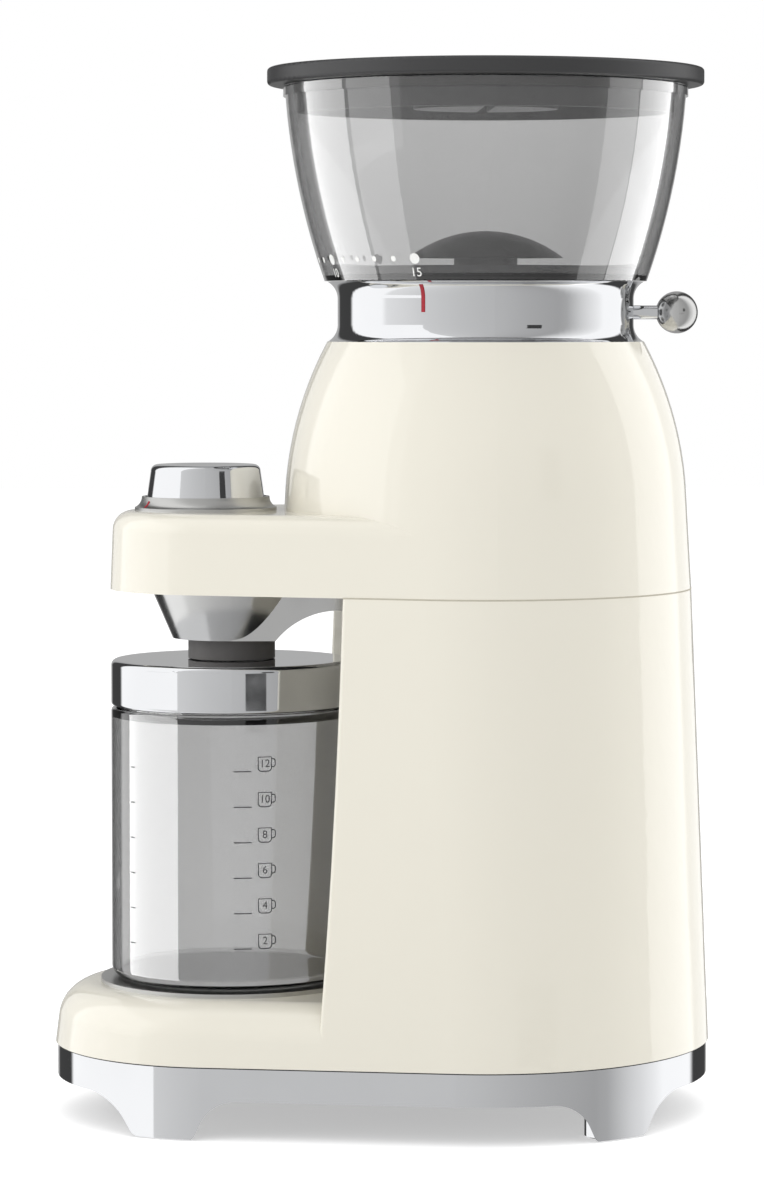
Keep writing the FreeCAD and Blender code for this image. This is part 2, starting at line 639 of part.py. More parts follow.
def fillet(body, item, radius, wanted):
    """Round the edges of a feature whose boxes pass the test, in the body's own frame."""
    doc.recompute()
    names = [
        f"Edge{index}" for index, edge in enumerate(item.Shape.Edges, start=1) if wanted(edge.BoundBox)
    ]
    rounded = body.newObject("PartDesign::Fillet", f"{body.Name}_fillet")
    rounded.Base = (item, names)
    bind(rounded, "Radius", radius)
    return rounded


def edge_rounds(name, base, rounds):
    """Round several sets of edges at once, each with its own radius."""
    doc.recompute()
    item = doc.addObject("Part::Fillet", name)
    item.Base = base
    item.Edges = [
        (index, radius.value, radius.value)
        for index, edge in enumerate(base.Shape.Edges, start=1)
        for radius, wanted in rounds
        if wanted(edge.BoundBox)
    ]
    return item


def level(height):
    """Test for edges that lie flat at one height."""
    return lambda box: max(abs(box.ZMin - height.value), abs(box.ZMax - height.value)) < 0.01


def cylinder(name, radius, height, x=0, y=0, z=0):
    item = doc.addObject("Part::Cylinder", name)
    bind(item, "Radius", radius)
    bind(item, "Height", height)
    return place(item, x, y, z)


def block(name, length, width, height, x=0, y=0, z=0):
    """A box whose (x, y) is the middle of its underside."""
    item = doc.addObject("Part::Box", name)
    bind(item, "Length", length)
    bind(item, "Width", width)
    bind(item, "Height", height)
    return place(item, x - as_dim(length) / 2, y - as_dim(width) / 2, z)


def fuse(name, items):
    item = doc.addObject("Part::MultiFuse", name)
    item.Shapes = items
    return item


def cut(name, base, tools):
    item = doc.addObject("Part::Cut", name)
    item.Base = base
    item.Tool = tools[0] if len(tools) == 1 else fuse(f"{name}_tools", tools)
    return item


def common(name, first, second):
    item = doc.addObject("Part::Common", name)
    item.Base = first
    item.Tool = second
    return item


def post_places():
    """The chassis posts' axes."""
    return [
        (side * x, AXIS_Y + y)
        for x, y in ((S.post_front_x, S.post_front_y), (S.post_rear_x, S.post_rear_y))
        for side in (-1, 1)
    ]


def foot_places():
    """The foot posts' axes, with x and y from the column axis."""
    front = S.base_front_r - S.frame_inset - S.foot_post_in
    rear = S.base_rear_r - S.frame_inset - S.foot_post_in
    front_x = front * sine(S.front_foot_angle)
    front_y = -S.reach - front * cosine(S.front_foot_angle)
    rear_x = rear * sine(S.rear_foot_angle)
    rear_y = rear * cosine(S.rear_foot_angle)
    return [(side * x, y) for x, y in ((front_x, front_y), (rear_x, rear_y)) for side in (-1, 1)]


def motor_screw_places():
    return [(side * S.motor_screw_r, MOTOR_Y) for side in (-1, 1)]


def collar_screw_places():
    """The collar screws' axes from the column axis; one is straight ahead."""
    return [
        (S.collar_screw_r * cosine(angle), S.collar_screw_r * sine(angle)) for angle in (-90, 30, 150)
    ]


def screws(label, places, head_z):
    """Pan head screws that point down, as one group."""
    items = []
    for index, (x, y) in enumerate(places):
        body = new_body(f"{label}_{index}", x, y)
        corners = [
            (0, head_z - S.screw_length),
            (S.screw_r, head_z - S.screw_length),
            (S.screw_r, head_z),
            (S.screw_head_r, head_z),
            (S.screw_head_r, head_z + S.screw_head_h),
            (0, head_z + S.screw_head_h),
        ]
        revolve(body, corners)
        items.append(body)
    return group(label, items)


def screw_holes(name, places, z, depth):
    return [
        cylinder(f"{name}_{index}", S.screw_r + S.fit, depth, x, y, z)
        for index, (x, y) in enumerate(places)
    ]


def cylinder_back(name, radius, length, y, z):
    """A cylinder that points to the rear, in the plane x = 0."""
    item = cylinder(name, radius, length)
    item.Placement = FreeCAD.Placement(
        FreeCAD.Vector(), FreeCAD.Rotation(FreeCAD.Vector(1, 0, 0), -90)
    )
    return place(item, 0, y, z)


def rectangle(x0, x1, y0, y1):
    return [(x0, y0), (x1, y0), (x1, y1), (x0, y1)]


def turned(corners, degrees):
    """The same corners turned about the origin."""
    c = cosine(degrees)
    s = sine(degrees)
    return [(x * c - y * s, x * s + y * c) for x, y in corners]


def group(label, items):
    bundle = doc.addObject("Part::Compound", label)
    bundle.Links = items
    return node(bundle, label)


def column_radius(height):
    """Outer radius of the upper shell's straight flank at a height."""
    return S.column_r - (S.column_r - S.flank_top_r) * (height - S.seam_z) / (S.flank_top_z - S.seam_z)


def bay_cone(body, thickness):
    """Cut the jar bay, or the space of the bay and its wall, down through the base."""
    depth = S.platform_z - S.shell_bottom_z
    spread = (S.bay_bottom_r - S.bay_top_r) / (S.seam_z - S.platform_z)
    cone = body.newObject("PartDesign::SubtractiveCone", f"{body.Name}_bay")
    bind(cone, "Radius1", S.bay_bottom_r + spread * depth + thickness)
    bind(cone, "Radius2", S.bay_top_r + thickness)
    bind(cone, "Height", S.seam_z - S.shell_bottom_z)
    return place(cone, 0, -S.reach, S.shell_bottom_z)


def base_loft(body, inset):
    low = draw_hull(
        sketch_on(body, "XY_Plane", S.shell_bottom_z), S.base_rear_r - inset, S.base_front_r - inset
    )
    high = draw_hull(sketch_on(body, "XY_Plane", S.seam_z), S.column_r - inset, S.arm_r - inset)
    return loft(body, low, high)


def platform(name, inset):
    """Foot of the lower shell up to the platform, with its rim rounded."""
    foot = new_body(f"{name}_foot", 0, AXIS_Y)
    base_loft(foot, inset)
    width = 2 * S.base_rear_r
    top = S.platform_z - inset
    slab = block(f"{name}_slab", width, S.reach + width, top, 0, AXIS_Y - S.reach / 2)
    low = common(f"{name}_low", foot, slab)
    return edge_rounds(f"{name}_rim", low, ((S.platform_round - inset, level(top)),))


def lower_shell():
    """Column and base in one painted shell, with the jar bay in front of the column."""
    column = new_body("lower_column", 0, AXIS_Y)
    base_loft(column, as_dim(0))
    bay_cone(column, as_dim(0))
    middle = AXIS_Y.value - S.reach.value / 2
    tall = (S.seam_z.value - S.platform_z.value) / 2

    def on_wing(box):
        return box.ZLength > tall and box.YMax < middle

    wings = edge_rounds("lower_wings", column, ((S.wing_round, on_wing),))
    outer = fuse("lower_outer", [wings, platform("lower_outer", as_dim(0))])
    room = new_body("lower_room", 0, AXIS_Y)
    base_loft(room, S.wall)
    bay_cone(room, S.wall)
    cavity = fuse("lower_cavity", [room, platform("lower_cavity", S.wall)])
    node(cut("lower_shell_cut", outer, [cavity]), "lower_shell")


def shoulder(inset):
    """Outline of the upper shell's round part."""
    return [
        (0, S.seam_z),
        (S.column_r - inset, S.seam_z),
        (S.flank_top_r - inset, S.flank_top_z, S.shoulder_curve, 1),
        (S.neck_r - inset, S.neck_z - inset),
        (0, S.neck_z - inset),
    ]


def arm_sketches(body, inset):
    top = S.arm_top_z - inset
    low = draw_hull(
        sketch_on(body, "XY_Plane", S.seam_z), S.column_r - S.arm_inset - inset, S.arm_r - inset
    )
    high = draw_hull(
        sketch_on(body, "XY_Plane", top),
        column_radius(top) - S.arm_inset - inset,
        S.arm_r - S.arm_draft - inset,
    )
    return low, high


def upper_shell():
    """Round upper body and forward arm in one painted shell."""
    body = new_body("upper_body", 0, AXIS_Y)
    loft(body, *arm_sketches(body, as_dim(0)))
    hole_r = S.encoder_bush_r + S.gap
    knob_hole = draw_circle(sketch_on(body, "XY_Plane", S.arm_top_z), hole_r, 0, -S.knob_reach)
    holed = pocket(body, knob_hole, 2 * S.wall)
    on_top = level(S.arm_top_z)
    hole_size = 3 * hole_r.value
    fillet(body, holed, S.arm_round, lambda box: on_top(box) and box.DiagonalLength > hole_size)
    revolve(body, shoulder(as_dim(0)))
    loft(body, *arm_sketches(body, S.wall), kind="SubtractiveLoft")
    revolve(body, shoulder(S.wall), "Groove")
    pocket(body, draw_circle(sketch_on(body, "XY_Plane", S.neck_z), S.neck_hole_r), 2 * S.wall)
    places = [(x, AXIS_Y + y) for x, y in collar_screw_places()]
    holes = screw_holes("upper_hole", places, S.neck_z - 2 * S.wall, 3 * S.wall)
    node(cut("upper_shell_cut", body, holes), "upper_shell")


def arm_underplate():
    """Plate that closes the arm over the jar bay and carries the chute and the spout."""
    plate = new_body("underplate_body", 0, AXIS_Y)
    inset = S.wall + S.gap
    outline = draw_hull(sketch_on(plate, "XY_Plane", S.seam_z), S.column_r - inset, S.arm_r - inset)
    pad(plate, outline, S.underplate_t)
    bay = cylinder("underplate_bay", S.bay_top_r + S.wall, S.underplate_t, 0, JAR_Y, S.seam_z)
    hole = cylinder("underplate_hole", WINDOW_W / 2, S.underplate_t, 0, JAR_Y, S.seam_z)
    node(cut("arm_underplate_cut", common("underplate_front", plate, bay), [hole]), "arm_underplate")


def arch(low, high):
    """Outline of the space between two feet, whose ends sweep up in an S."""
    floor = S.foot_z - S.gap
    rise = 1 - cosine(S.arch_slope)
    run = sine(S.arch_slope)
    straight = (S.arch_h - floor - (S.arch_low_r + S.arch_high_r) * rise) / run
    x1 = S.arch_low_r * run
    z1 = floor + S.arch_low_r * rise
    x2 = x1 + straight * cosine(S.arch_slope)
    z2 = z1 + straight * run
    x3 = x2 + S.arch_high_r * run
    return [
        (low, floor, S.arch_low_r, 1),
        (low + x1, z1),
        (low + x2, z2, S.arch_high_r, -1),
        (low + x3, S.arch_h),
        (high - x3, S.arch_h, S.arch_high_r, -1),
        (high - x2, z2),
        (high - x1, z1, S.arch_low_r, 1),
        (high, floor),
        (high, floor - S.gap),
        (low, floor - S.gap),
    ]


def base_frame():
    """Chrome frame under the shell, arched between its four feet."""
    body = new_body("frame_body", 0, AXIS_Y)
    rear = S.base_rear_r - S.frame_inset
    ahead = S.base_front_r - S.frame_inset
    height = S.shell_bottom_z - S.foot_z
    pad(body, draw_hull(sketch_on(body, "XY_Plane", S.foot_z), rear, ahead), height)
    top = sketch_on(body, "XY_Plane", S.shell_bottom_z)
    pocket(body, draw_hull(top, rear - S.frame_wall, ahead - S.frame_wall), height)
    side = draw(
        sketch_on(body, "YZ_Plane"), arch(-S.reach - S.side_arch_front, S.side_arch_rear)
    )
    both_ways(pocket(body, side, 3 * S.base_rear_r))
    before = draw(
        sketch_on(body, "XZ_Plane", S.reach), arch(-S.front_arch_w / 2, S.front_arch_w / 2)
    )
    pocket(body, before, S.base_front_r, reverse=True)
    behind = draw(sketch_on(body, "XZ_Plane"), arch(-S.rear_arch_w / 2, S.rear_arch_w / 2))
    pocket(body, behind, S.base_rear_r)
    posts = sketch_on(body, "XY_Plane", S.foot_z)
    for x, y in foot_places():
        draw_circle(posts, S.foot_post_r, x, y)
    pad(body, posts, S.base_plate_z - S.foot_z)
    places = [(x, AXIS_Y + y) for x, y in foot_places()]
    depth = S.screw_length + S.gap
    holes = screw_holes("frame_hole", places, BASE_PLATE_TOP - depth, depth)
    node(cut("base_frame_cut", body, holes), "base_frame")
    screws("base_screws", places, BASE_PLATE_TOP)
    pads = [
        cylinder(f"foot_pad_{index}", S.foot_pad_r, S.foot_z, x, y)
        for index, (x, y) in enumerate(places)
    ]
    group("foot_pads", pads)


def base_plate():
    body = new_body("base_plate_body", 0, AXIS_Y)
    inset = S.frame_inset + S.frame_wall + S.gap
    outline = draw_hull(
        sketch_on(body, "XY_Plane", S.base_plate_z), S.base_rear_r - inset, S.base_front_r - inset
    )
    pad(body, outline, S.base_plate_t)
    places = [(x, AXIS_Y + y) for x, y in foot_places()]
    holes = screw_holes("plate_hole", places, S.base_plate_z, S.base_plate_t)
    gland_y = AXIS_Y + S.gland_back
    gland_hole = S.gland_body_r + S.fit
    holes.append(cylinder("gland_hole", gland_hole, S.base_plate_t, 0, gland_y, S.base_plate_z))
    node(cut("base_plate_cut", body, holes), "base_plate")


def cord_gland():
    """Bush in the base plate where the mains cord leaves, under the rear arch."""
    body = new_body("cord_gland", 0, AXIS_Y + S.gland_back)
    corners = [
        (S.gland_bore_r, S.base_plate_z - S.gland_flange_t),
        (S.gland_r, S.base_plate_z - S.gland_flange_t),
        (S.gland_r, S.base_plate_z),
        (S.gland_body_r, S.base_plate_z),
        (S.gland_body_r, BASE_PLATE_TOP + S.gland_inside),
        (S.gland_bore_r, BASE_PLATE_TOP + S.gland_inside),
    ]
    revolve(body, corners)
    node(body, "cord_gland")


def jar_seat():
    body = new_body("jar_seat", 0, JAR_Y)
    revolve(body, rectangle(as_dim(0), S.seat_r, S.platform_z, SEAT_TOP))
    node(body, "jar_seat")


def jar():
    """Clear jar; its neck goes up inside the cap."""
    body = new_body("jar", 0, JAR_Y)
    neck = S.jar_r - S.jar_neck_in
    neck_top = S.jar_shoulder_z + S.jar_neck_h
    inside = S.jar_r - S.jar_wall
    corners = [
        (0, JAR_Z),
        (S.jar_r - S.jar_round, JAR_Z, S.jar_round, 1),
        (S.jar_r, JAR_Z + S.jar_round),
        (S.jar_r, S.jar_shoulder_z - S.jar_shoulder_round, S.jar_shoulder_round, 1),
        (S.jar_r - S.jar_shoulder_round, S.jar_shoulder_z),
        (neck, S.jar_shoulder_z),
        (neck, neck_top),
        (neck - S.jar_wall, neck_top),
        (neck - S.jar_wall, S.jar_shoulder_z),
        (inside, S.jar_shoulder_z - S.jar_neck_in),
        (inside, JAR_Z + S.jar_floor),
        (0, JAR_Z + S.jar_floor),
    ]
    revolve(body, corners)
    node(body, "jar")


def jar_cap():
    """Chrome cap that screws on the jar, with a hole under the spout, and the seal inside it."""
    body = new_body("jar_cap", 0, JAR_Y)
    inside = S.jar_r - S.cap_wall
    corners = [
        (S.cap_hole_r, CAP_TOP - S.cap_wall),
        (inside, CAP_TOP - S.cap_wall),
        (inside, CAP_Z),
        (S.jar_r - S.cap_foot_round, CAP_Z, S.cap_foot_round, 1),
        (S.jar_r, CAP_Z + S.cap_foot_round),
        (S.jar_r, CAP_TOP - S.cap_round, S.cap_round, 1),
        (S.jar_r - S.cap_round, CAP_TOP),
        (S.cap_hole_r, CAP_TOP),
    ]
    revolve(body, corners)
    node(body, "jar_cap")
    seal = new_body("cap_seal", 0, JAR_Y)
    neck = S.jar_r - S.jar_neck_in
    bottom = S.jar_shoulder_z + S.jar_neck_h / 4
    revolve(seal, rectangle(neck + S.gap, inside - S.fit, bottom, bottom + S.cap_seal_h))
    node(seal, "cap_seal")


def spout():
    """Chrome spout cone, with the fairing that runs back to the bay wall, and its rubber ring."""
    body = new_body("spout", 0, JAR_Y)
    cone = [(0, S.spout_tip_z), (S.spout_tip_r, S.spout_tip_z), (S.spout_r, S.seam_z), (0, S.seam_z)]
    revolve(body, cone)
    fairing = rectangle(0, S.fairing_back, S.spout_tip_z, S.seam_z)
    both_ways(pad(body, draw(sketch_on(body, "YZ_Plane"), fairing), S.fairing_w))
    curve = tangent_curve(S.fairing_knee - S.fairing_front, S.fairing_z - S.spout_tip_z)
    underside = S.spout_tip_z - S.gap
    room = [
        (S.fairing_front, S.spout_tip_z, curve, -1),
        (S.fairing_knee, S.fairing_z),
        (S.fairing_back + S.gap, S.fairing_z),
        (S.fairing_back + S.gap, underside),
        (S.fairing_front, underside),
    ]
    both_ways(pocket(body, draw(sketch_on(body, "YZ_Plane"), room), 2 * S.spout_r))
    bore = [
        (0, S.spout_tip_z),
        (S.spout_bore_r, S.spout_tip_z),
        (WINDOW_W / 2, S.seam_z),
        (0, S.seam_z),
    ]
    revolve(body, bore, "Groove")
    node(body, "spout")
    ring = new_body("spout_gasket", 0, JAR_Y)
    revolve(ring, rectangle(S.spout_bore_r, S.gasket_r, CAP_TOP + S.cap_gap, S.spout_tip_z))
    node(ring, "spout_gasket")


def chute():
    """Duct from the burr chamber's window down to the spout."""
    body = new_body("chute_body", 0, JAR_Y)
    inlet = S.reach - S.chamber_r + S.chamber_wall
    low = UNDERPLATE_TOP

    def outline(inset):
        end = S.chute_end - inset
        return [
            (-end, low),
            (end, low),
            (end, low + S.chute_toe + inset),
            (inlet, CHAMBER_FLOOR - S.chute_wall + inset),
            (inlet, CHAMBER_FLOOR + S.window_h + S.chute_wall - inset),
            (end, low + S.chute_low_h - inset),
            (-end, low + S.chute_low_h - inset),
        ]

    both_ways(pad(body, draw(sketch_on(body, "YZ_Plane"), outline(as_dim(0))), S.chute_w))
    both_ways(pocket(body, draw(sketch_on(body, "YZ_Plane"), outline(S.chute_wall)), WINDOW_W))
    chamber = cylinder("chute_chamber", S.chamber_r + S.gap, S.neck_z, 0, AXIS_Y)
    node(cut("chute_cut", body, [chamber]), "chute")


def neck_collar():
    """Waisted chrome collar under the hopper, slotted at the rear for the lever."""
    body = new_body("collar_body", 0, AXIS_Y)
    corners = [
        (S.neck_hole_r, S.neck_z),
        (S.collar_r, S.neck_z, COLLAR_FLARE, -1),
        (S.collar_waist_r, S.neck_z + S.collar_flare_h),
        (S.collar_waist_r, COLLAR_TOP - S.collar_flare_h, COLLAR_FLARE, -1),
        (S.collar_r, COLLAR_TOP),
        (COLLAR_BORE, COLLAR_TOP),
        (COLLAR_BORE, COLLAR_FLOOR),
        (S.neck_hole_r, COLLAR_FLOOR),
    ]
    revolve(body, corners)
    half = S.lever_rod_r + S.gap
    slot = cylinder("collar_slot", S.collar_r, 2 * half)
    bind(slot, "Angle", S.lever_swing + 2 * S.slot_room)
    start = 90 - S.slot_room.value
    slot.Placement = FreeCAD.Placement(
        FreeCAD.Vector(), FreeCAD.Rotation(FreeCAD.Vector(0, 0, 1), start)
    )
    place(slot, 0, AXIS_Y, S.lever_z - half)
    places = [(x, AXIS_Y + y) for x, y in collar_screw_places()]
    head_z = COLLAR_FLOOR - S.screw_head_h
    tools = [slot] + screw_holes("collar_hole", places, S.neck_z, S.collar_floor)
    for index, (x, y) in enumerate(places):
        head = S.screw_head_r + S.fit
        tools.append(cylinder(f"collar_head_{index}", head, S.screw_head_h, x, y, head_z))
    node(cut("neck_collar_cut", body, tools), "neck_collar")
    screws("collar_screws", places, head_z)


def lock_ring():
    """Ring inside the collar whose lip holds the hopper's lugs down, with its lever and ball."""
    body = new_body("lock_ring_body", 0, AXIS_Y)
    top = LOCK_Z + S.lock_h
    corners = [
        (LOCK_BORE, LOCK_Z),
        (LOCK_R, LOCK_Z),
        (LOCK_R, top),
        (LOCK_LIP_BORE, top),
        (LOCK_LIP_BORE, LOCK_LIP_Z),
        (LOCK_BORE, LOCK_LIP_Z),
    ]
    revolve(body, corners)
    notch_half = S.lug_w / 2 + S.lug_room
    notch = rectangle(SPIGOT_BORE, LUG_R, -notch_half, notch_half)
    sketch = sketch_on(body, "XY_Plane", top)
    for angle in LUG_ANGLES:
        draw(sketch, turned(notch, angle))
    pocket(body, sketch, S.lock_lip_t)
    rod_hole = cylinder_back(
        "lock_rod_hole", S.lever_rod_r + S.fit, S.lock_wall, AXIS_Y + ROD_START, S.lever_z
    )
    node(cut("lock_ring_cut", body, [rod_hole]), "lock_ring")
    rod = cylinder_back(
        "lever_rod", S.lever_rod_r, ROD_END - ROD_START, AXIS_Y + ROD_START, S.lever_z
    )
    node(rod, "lever_rod")
    ball = doc.addObject("Part::Sphere", "ball")
    bind(ball, "Radius", S.lever_ball_r)
    place(ball, 0, AXIS_Y + S.lever_reach, S.lever_z)
    hole_length = S.lever_ball_r + S.gap
    ball_hole = cylinder_back(
        "ball_hole", S.lever_rod_r + S.fit, hole_length, AXIS_Y + ROD_END - S.lever_ball_r, S.lever_z
    )
    node(cut("lever_ball_cut", ball, [ball_hole]), "lever_ball")


def hopper_bowl():
    """Smoky clear bean hopper, open at the top, with a hole in its floor for the spigot."""
    body = new_body("hopper_bowl", 0, AXIS_Y)
    rim_z = HOPPER_TOP - S.hopper_rim_h
    rim_r = S.hopper_top_r + S.hopper_rim
    inside = S.hopper_top_r - S.hopper_wall
    corners = [
        (S.hopper_hole_r, HOPPER_Z),
        (S.hopper_r, HOPPER_Z, S.hopper_curve, 1),
        (S.hopper_top_r, rim_z),
        (rim_r, rim_z),
        (rim_r, HOPPER_TOP),
        (inside, HOPPER_TOP),
        (inside, rim_z, S.hopper_curve, -1),
        (S.hopper_r - S.hopper_wall, FLOOR_Z),
        (S.hopper_hole_r, FLOOR_Z),
    ]
    revolve(body, corners)
    node(body, "hopper_bowl")


def hopper_base():
    """Funnel floor of the hopper, with the spigot that turns the adjuster and the lugs that lock it down."""
    body = new_body("hopper_base", 0, AXIS_Y)
    floor_r = S.hopper_r - S.hopper_wall - S.gap
    corners = [
        (S.throat_r, THROAT_Z),
        (SPIGOT_BORE, FLOOR_Z),
        (SPIGOT_BORE, SPIGOT_Z),
        (SPIGOT_R, SPIGOT_Z),
        (SPIGOT_R, FLOOR_Z),
        (floor_r, FLOOR_Z),
        (floor_r, FLOOR_TOP),
        (SPIGOT_BORE, FLOOR_TOP),
        (S.throat_r, THROAT_TOP),
    ]
    revolve(body, corners)
    lug = rectangle(SPIGOT_R - S.spigot_wall / 2, LUG_FACE, -S.lug_w / 2, S.lug_w / 2)
    lugs = sketch_on(body, "XY_Plane", LUG_TOP - S.lug_h)
    for angle in LUG_ANGLES:
        draw(lugs, turned(lug, angle))
    pad(body, lugs, S.lug_h)
    half = S.dog_w / 2 + S.dog_room
    notch = rectangle(SPIGOT_BORE - S.spigot_wall, SPIGOT_R + S.spigot_wall, -half, half)
    notches = sketch_on(body, "XY_Plane", ADJUSTER_TOP + S.dog_h + S.gap)
    for angle in DOG_ANGLES:
        draw(notches, turned(notch, angle))
    pocket(body, notches, S.dog_h + S.gap)
    node(body, "hopper_base")


def bean_guard():
    """Dome over the funnel, on a stem with three ribs and a ring that sits in the throat."""
    body = new_body("bean_guard", 0, AXIS_Y)
    ring_r = S.throat_r - S.fit
    ribs = sketch_on(body, "XY_Plane", THROAT_Z)
    rib = rectangle(as_dim(0), ring_r - S.guard_ring_w / 2, -S.guard_rib_t / 2, S.guard_rib_t / 2)
    first = pad(body, draw(ribs, rib), S.floor_t)
    polar(body, first, as_dim(3))
    curve = (S.guard_r * S.guard_r + S.guard_h * S.guard_h) / (2 * S.guard_h)
    dome = [
        (0, THROAT_Z),
        (S.guard_stem_r, THROAT_Z),
        (S.guard_stem_r, GUARD_Z),
        (S.guard_r, GUARD_Z, curve, 1),
        (0, GUARD_Z + S.guard_h),
    ]
    revolve(body, dome)
    lip_z = THROAT_TOP + S.guard_ring_w * FUNNEL_SLOPE
    ring = [
        (ring_r - S.guard_ring_w, THROAT_Z),
        (ring_r, THROAT_Z),
        (ring_r, THROAT_TOP),
        (S.throat_r + S.guard_ring_w, lip_z),
        (S.throat_r + S.guard_ring_w, lip_z + S.guard_lip_t),
        (ring_r - S.guard_ring_w, THROAT_TOP + S.guard_lip_t),
    ]
    revolve(body, ring)
    node(body, "bean_guard")


def draw_wells(sketch, inset):
    """The two D shaped finger wells on either side of the lid's grip."""
    radius = S.well_r - inset
    flat = S.well_split / 2 + inset
    corner = root(radius * radius - flat * flat)
    draw(sketch, [(-corner, flat), (corner, flat, radius, 1)])
    draw(sketch, [(corner, -flat), (-corner, -flat, radius, 1)])
    return sketch


def hopper_lid():
    """Lid with a plug, two finger wells and a seal round the plug."""
    body = new_body("hopper_lid", 0, AXIS_Y)
    plug_z = LID_Z - S.plug_h
    corners = [
        (0, LID_Z),
        (PLUG_R - S.plug_w, LID_Z),
        (PLUG_R - S.plug_w, plug_z),
        (PLUG_R, plug_z),
        (PLUG_R, LID_Z),
        (S.lid_r - S.lid_round, LID_Z, S.lid_round, 1),
        (S.lid_r, LID_Z + S.lid_round),
        (S.lid_r, LID_TOP - S.lid_round, S.lid_round, 1),
        (S.lid_r - S.lid_round, LID_TOP),
        (0, LID_TOP),
    ]
    revolve(body, corners)
    well_z = LID_Z - S.well_depth
    pad(body, draw_wells(sketch_on(body, "XY_Plane", well_z), as_dim(0)), S.well_depth)
    hollow = draw_wells(sketch_on(body, "XY_Plane", LID_TOP), S.well_wall)
    pocket(body, hollow, S.lid_t + S.well_depth - S.well_wall)
    node(body, "hopper_lid")
    seal = new_body("lid_seal", 0, AXIS_Y)
    seal_top = LID_Z - 2 * S.gap
    seal_r = PLUG_R + S.plug_gap - S.gap
    revolve(seal, rectangle(PLUG_R + S.fit, seal_r, seal_top - S.seal_h, seal_top))
    node(seal, "lid_seal")


def adjuster_ring():
    """Ring that the hopper turns; its keys turn the burr carrier in its thread."""
    body = new_body("adjuster_ring", 0, AXIS_Y)
    revolve(body, rectangle(S.adjuster_bore_r, ADJUSTER_R, ADJUSTER_Z, ADJUSTER_TOP))
    key = rectangle(S.key_r, S.key_r + S.key_t, -S.key_w / 2, S.key_w / 2)
    key_z = CARRIER_TOP - S.key_h
    keys = sketch_on(body, "XY_Plane", key_z)
    for angle in KEY_ANGLES:
        draw(keys, turned(key, angle))
    pad(body, keys, ADJUSTER_TOP - key_z)
    dog = rectangle(SPIGOT_BORE + S.gap, SPIGOT_R - S.gap, -S.dog_w / 2, S.dog_w / 2)
    dogs = sketch_on(body, "XY_Plane", ADJUSTER_Z)
    for angle in DOG_ANGLES:
        draw(dogs, turned(dog, angle))
    pad(body, dogs, S.adjuster_t + S.dog_h)
    node(body, "adjuster_ring")


def burr_carrier():
    """Funnel that holds the ring burr and runs in the burr chamber's thread, drawn plain."""
    body = new_body("burr_carrier", 0, AXIS_Y)
    thread_z = CARRIER_TOP - S.carrier_thread_h
    sleeve_z = RING_Z + S.carrier_lip_t
    corners = [
        (SLEEVE_BORE, sleeve_z),
        (SLEEVE_R, sleeve_z),
        (SLEEVE_R, thread_z - S.carrier_web_h),
        (CARRIER_R, thread_z),
        (CARRIER_R, CARRIER_TOP),
        (S.adjuster_bore_r, CARRIER_TOP),
        (S.ring_burr_mouth_r, RING_TOP + S.carrier_lip_t),
        (S.ring_burr_mouth_r, RING_TOP),
        (SLEEVE_BORE, RING_TOP),
    ]
    revolve(body, corners)
    half = S.key_w / 2 + S.gap
    slot = rectangle(S.key_r - S.gap, S.key_r + S.key_t + S.gap, -half, half)
    slots = sketch_on(body, "XY_Plane", CARRIER_TOP)
    for angle in KEY_ANGLES:
        draw(slots, turned(slot, angle))
    pocket(body, slots, S.key_h + S.key_room)
    node(body, "burr_carrier")


def flutes(body, low_z, low_r, high_z, high_r, outward):
    """Cut twisted V flutes in a burr; outward is 1 for a ring's inside and -1 for a cone's outside."""
    sections = []
    for z, radius, depth, half, turn in (
        (low_z, low_r, S.tooth_depth, 2 * S.tooth_depth, as_dim(0)),
        (high_z, high_r, S.flute_depth, S.flute_depth, S.flute_twist),
    ):
        mouth = radius - outward * S.tooth_depth
        corners = [(mouth, -half), (mouth, half), (radius + outward * depth, as_dim(0))]
        sections.append(draw(sketch_on(body, "XY_Plane", z), turned(corners, turn)))
    flute = loft(body, *sections, kind="SubtractiveLoft")
    polar(body, flute, S.flute_count)


def burrs():
    """Ring burr in the carrier, and the cone burr that turns inside it."""
    ring = new_body("ring_burr", 0, AXIS_Y)
    corners = [
        (RING_FOOT_R, RING_Z),
        (S.ring_burr_r, RING_Z),
        (S.ring_burr_r, RING_TOP),
        (S.ring_burr_mouth_r, RING_TOP),
    ]
    revolve(ring, corners)
    flutes(ring, RING_Z, RING_FOOT_R, RING_TOP, S.ring_burr_mouth_r, 1)
    node(ring, "ring_burr")
    cone = new_body("cone_burr", 0, AXIS_Y)
    bore = S.shaft_r + S.fit
    revolve(cone, [(bore, CONE_Z), (S.cone_r, CONE_Z), (S.cone_top_r, CONE_TOP), (bore, CONE_TOP)])
    flutes(cone, CONE_Z, S.cone_r, CONE_TOP, S.cone_top_r, -1)
    node(cone, "cone_burr")


def sweeper():
    """Paddles under the cone burr that push the grounds into the chute."""
    body = new_body("sweeper", 0, AXIS_Y)
    bore = S.shaft_r + S.fit
    revolve(body, rectangle(bore, S.sweeper_hub_r, SWEEPER_Z, CONE_Z))
    blade = rectangle(
        S.sweeper_hub_r - S.blade_t / 2, CHAMBER_BORE - S.sweeper_gap, -S.blade_t / 2, S.blade_t / 2
    )
    first = pad(body, draw(sketch_on(body, "XY_Plane", SWEEPER_Z), blade), S.blade_h)
    polar(body, first, S.blade_count)
    node(body, "sweeper")


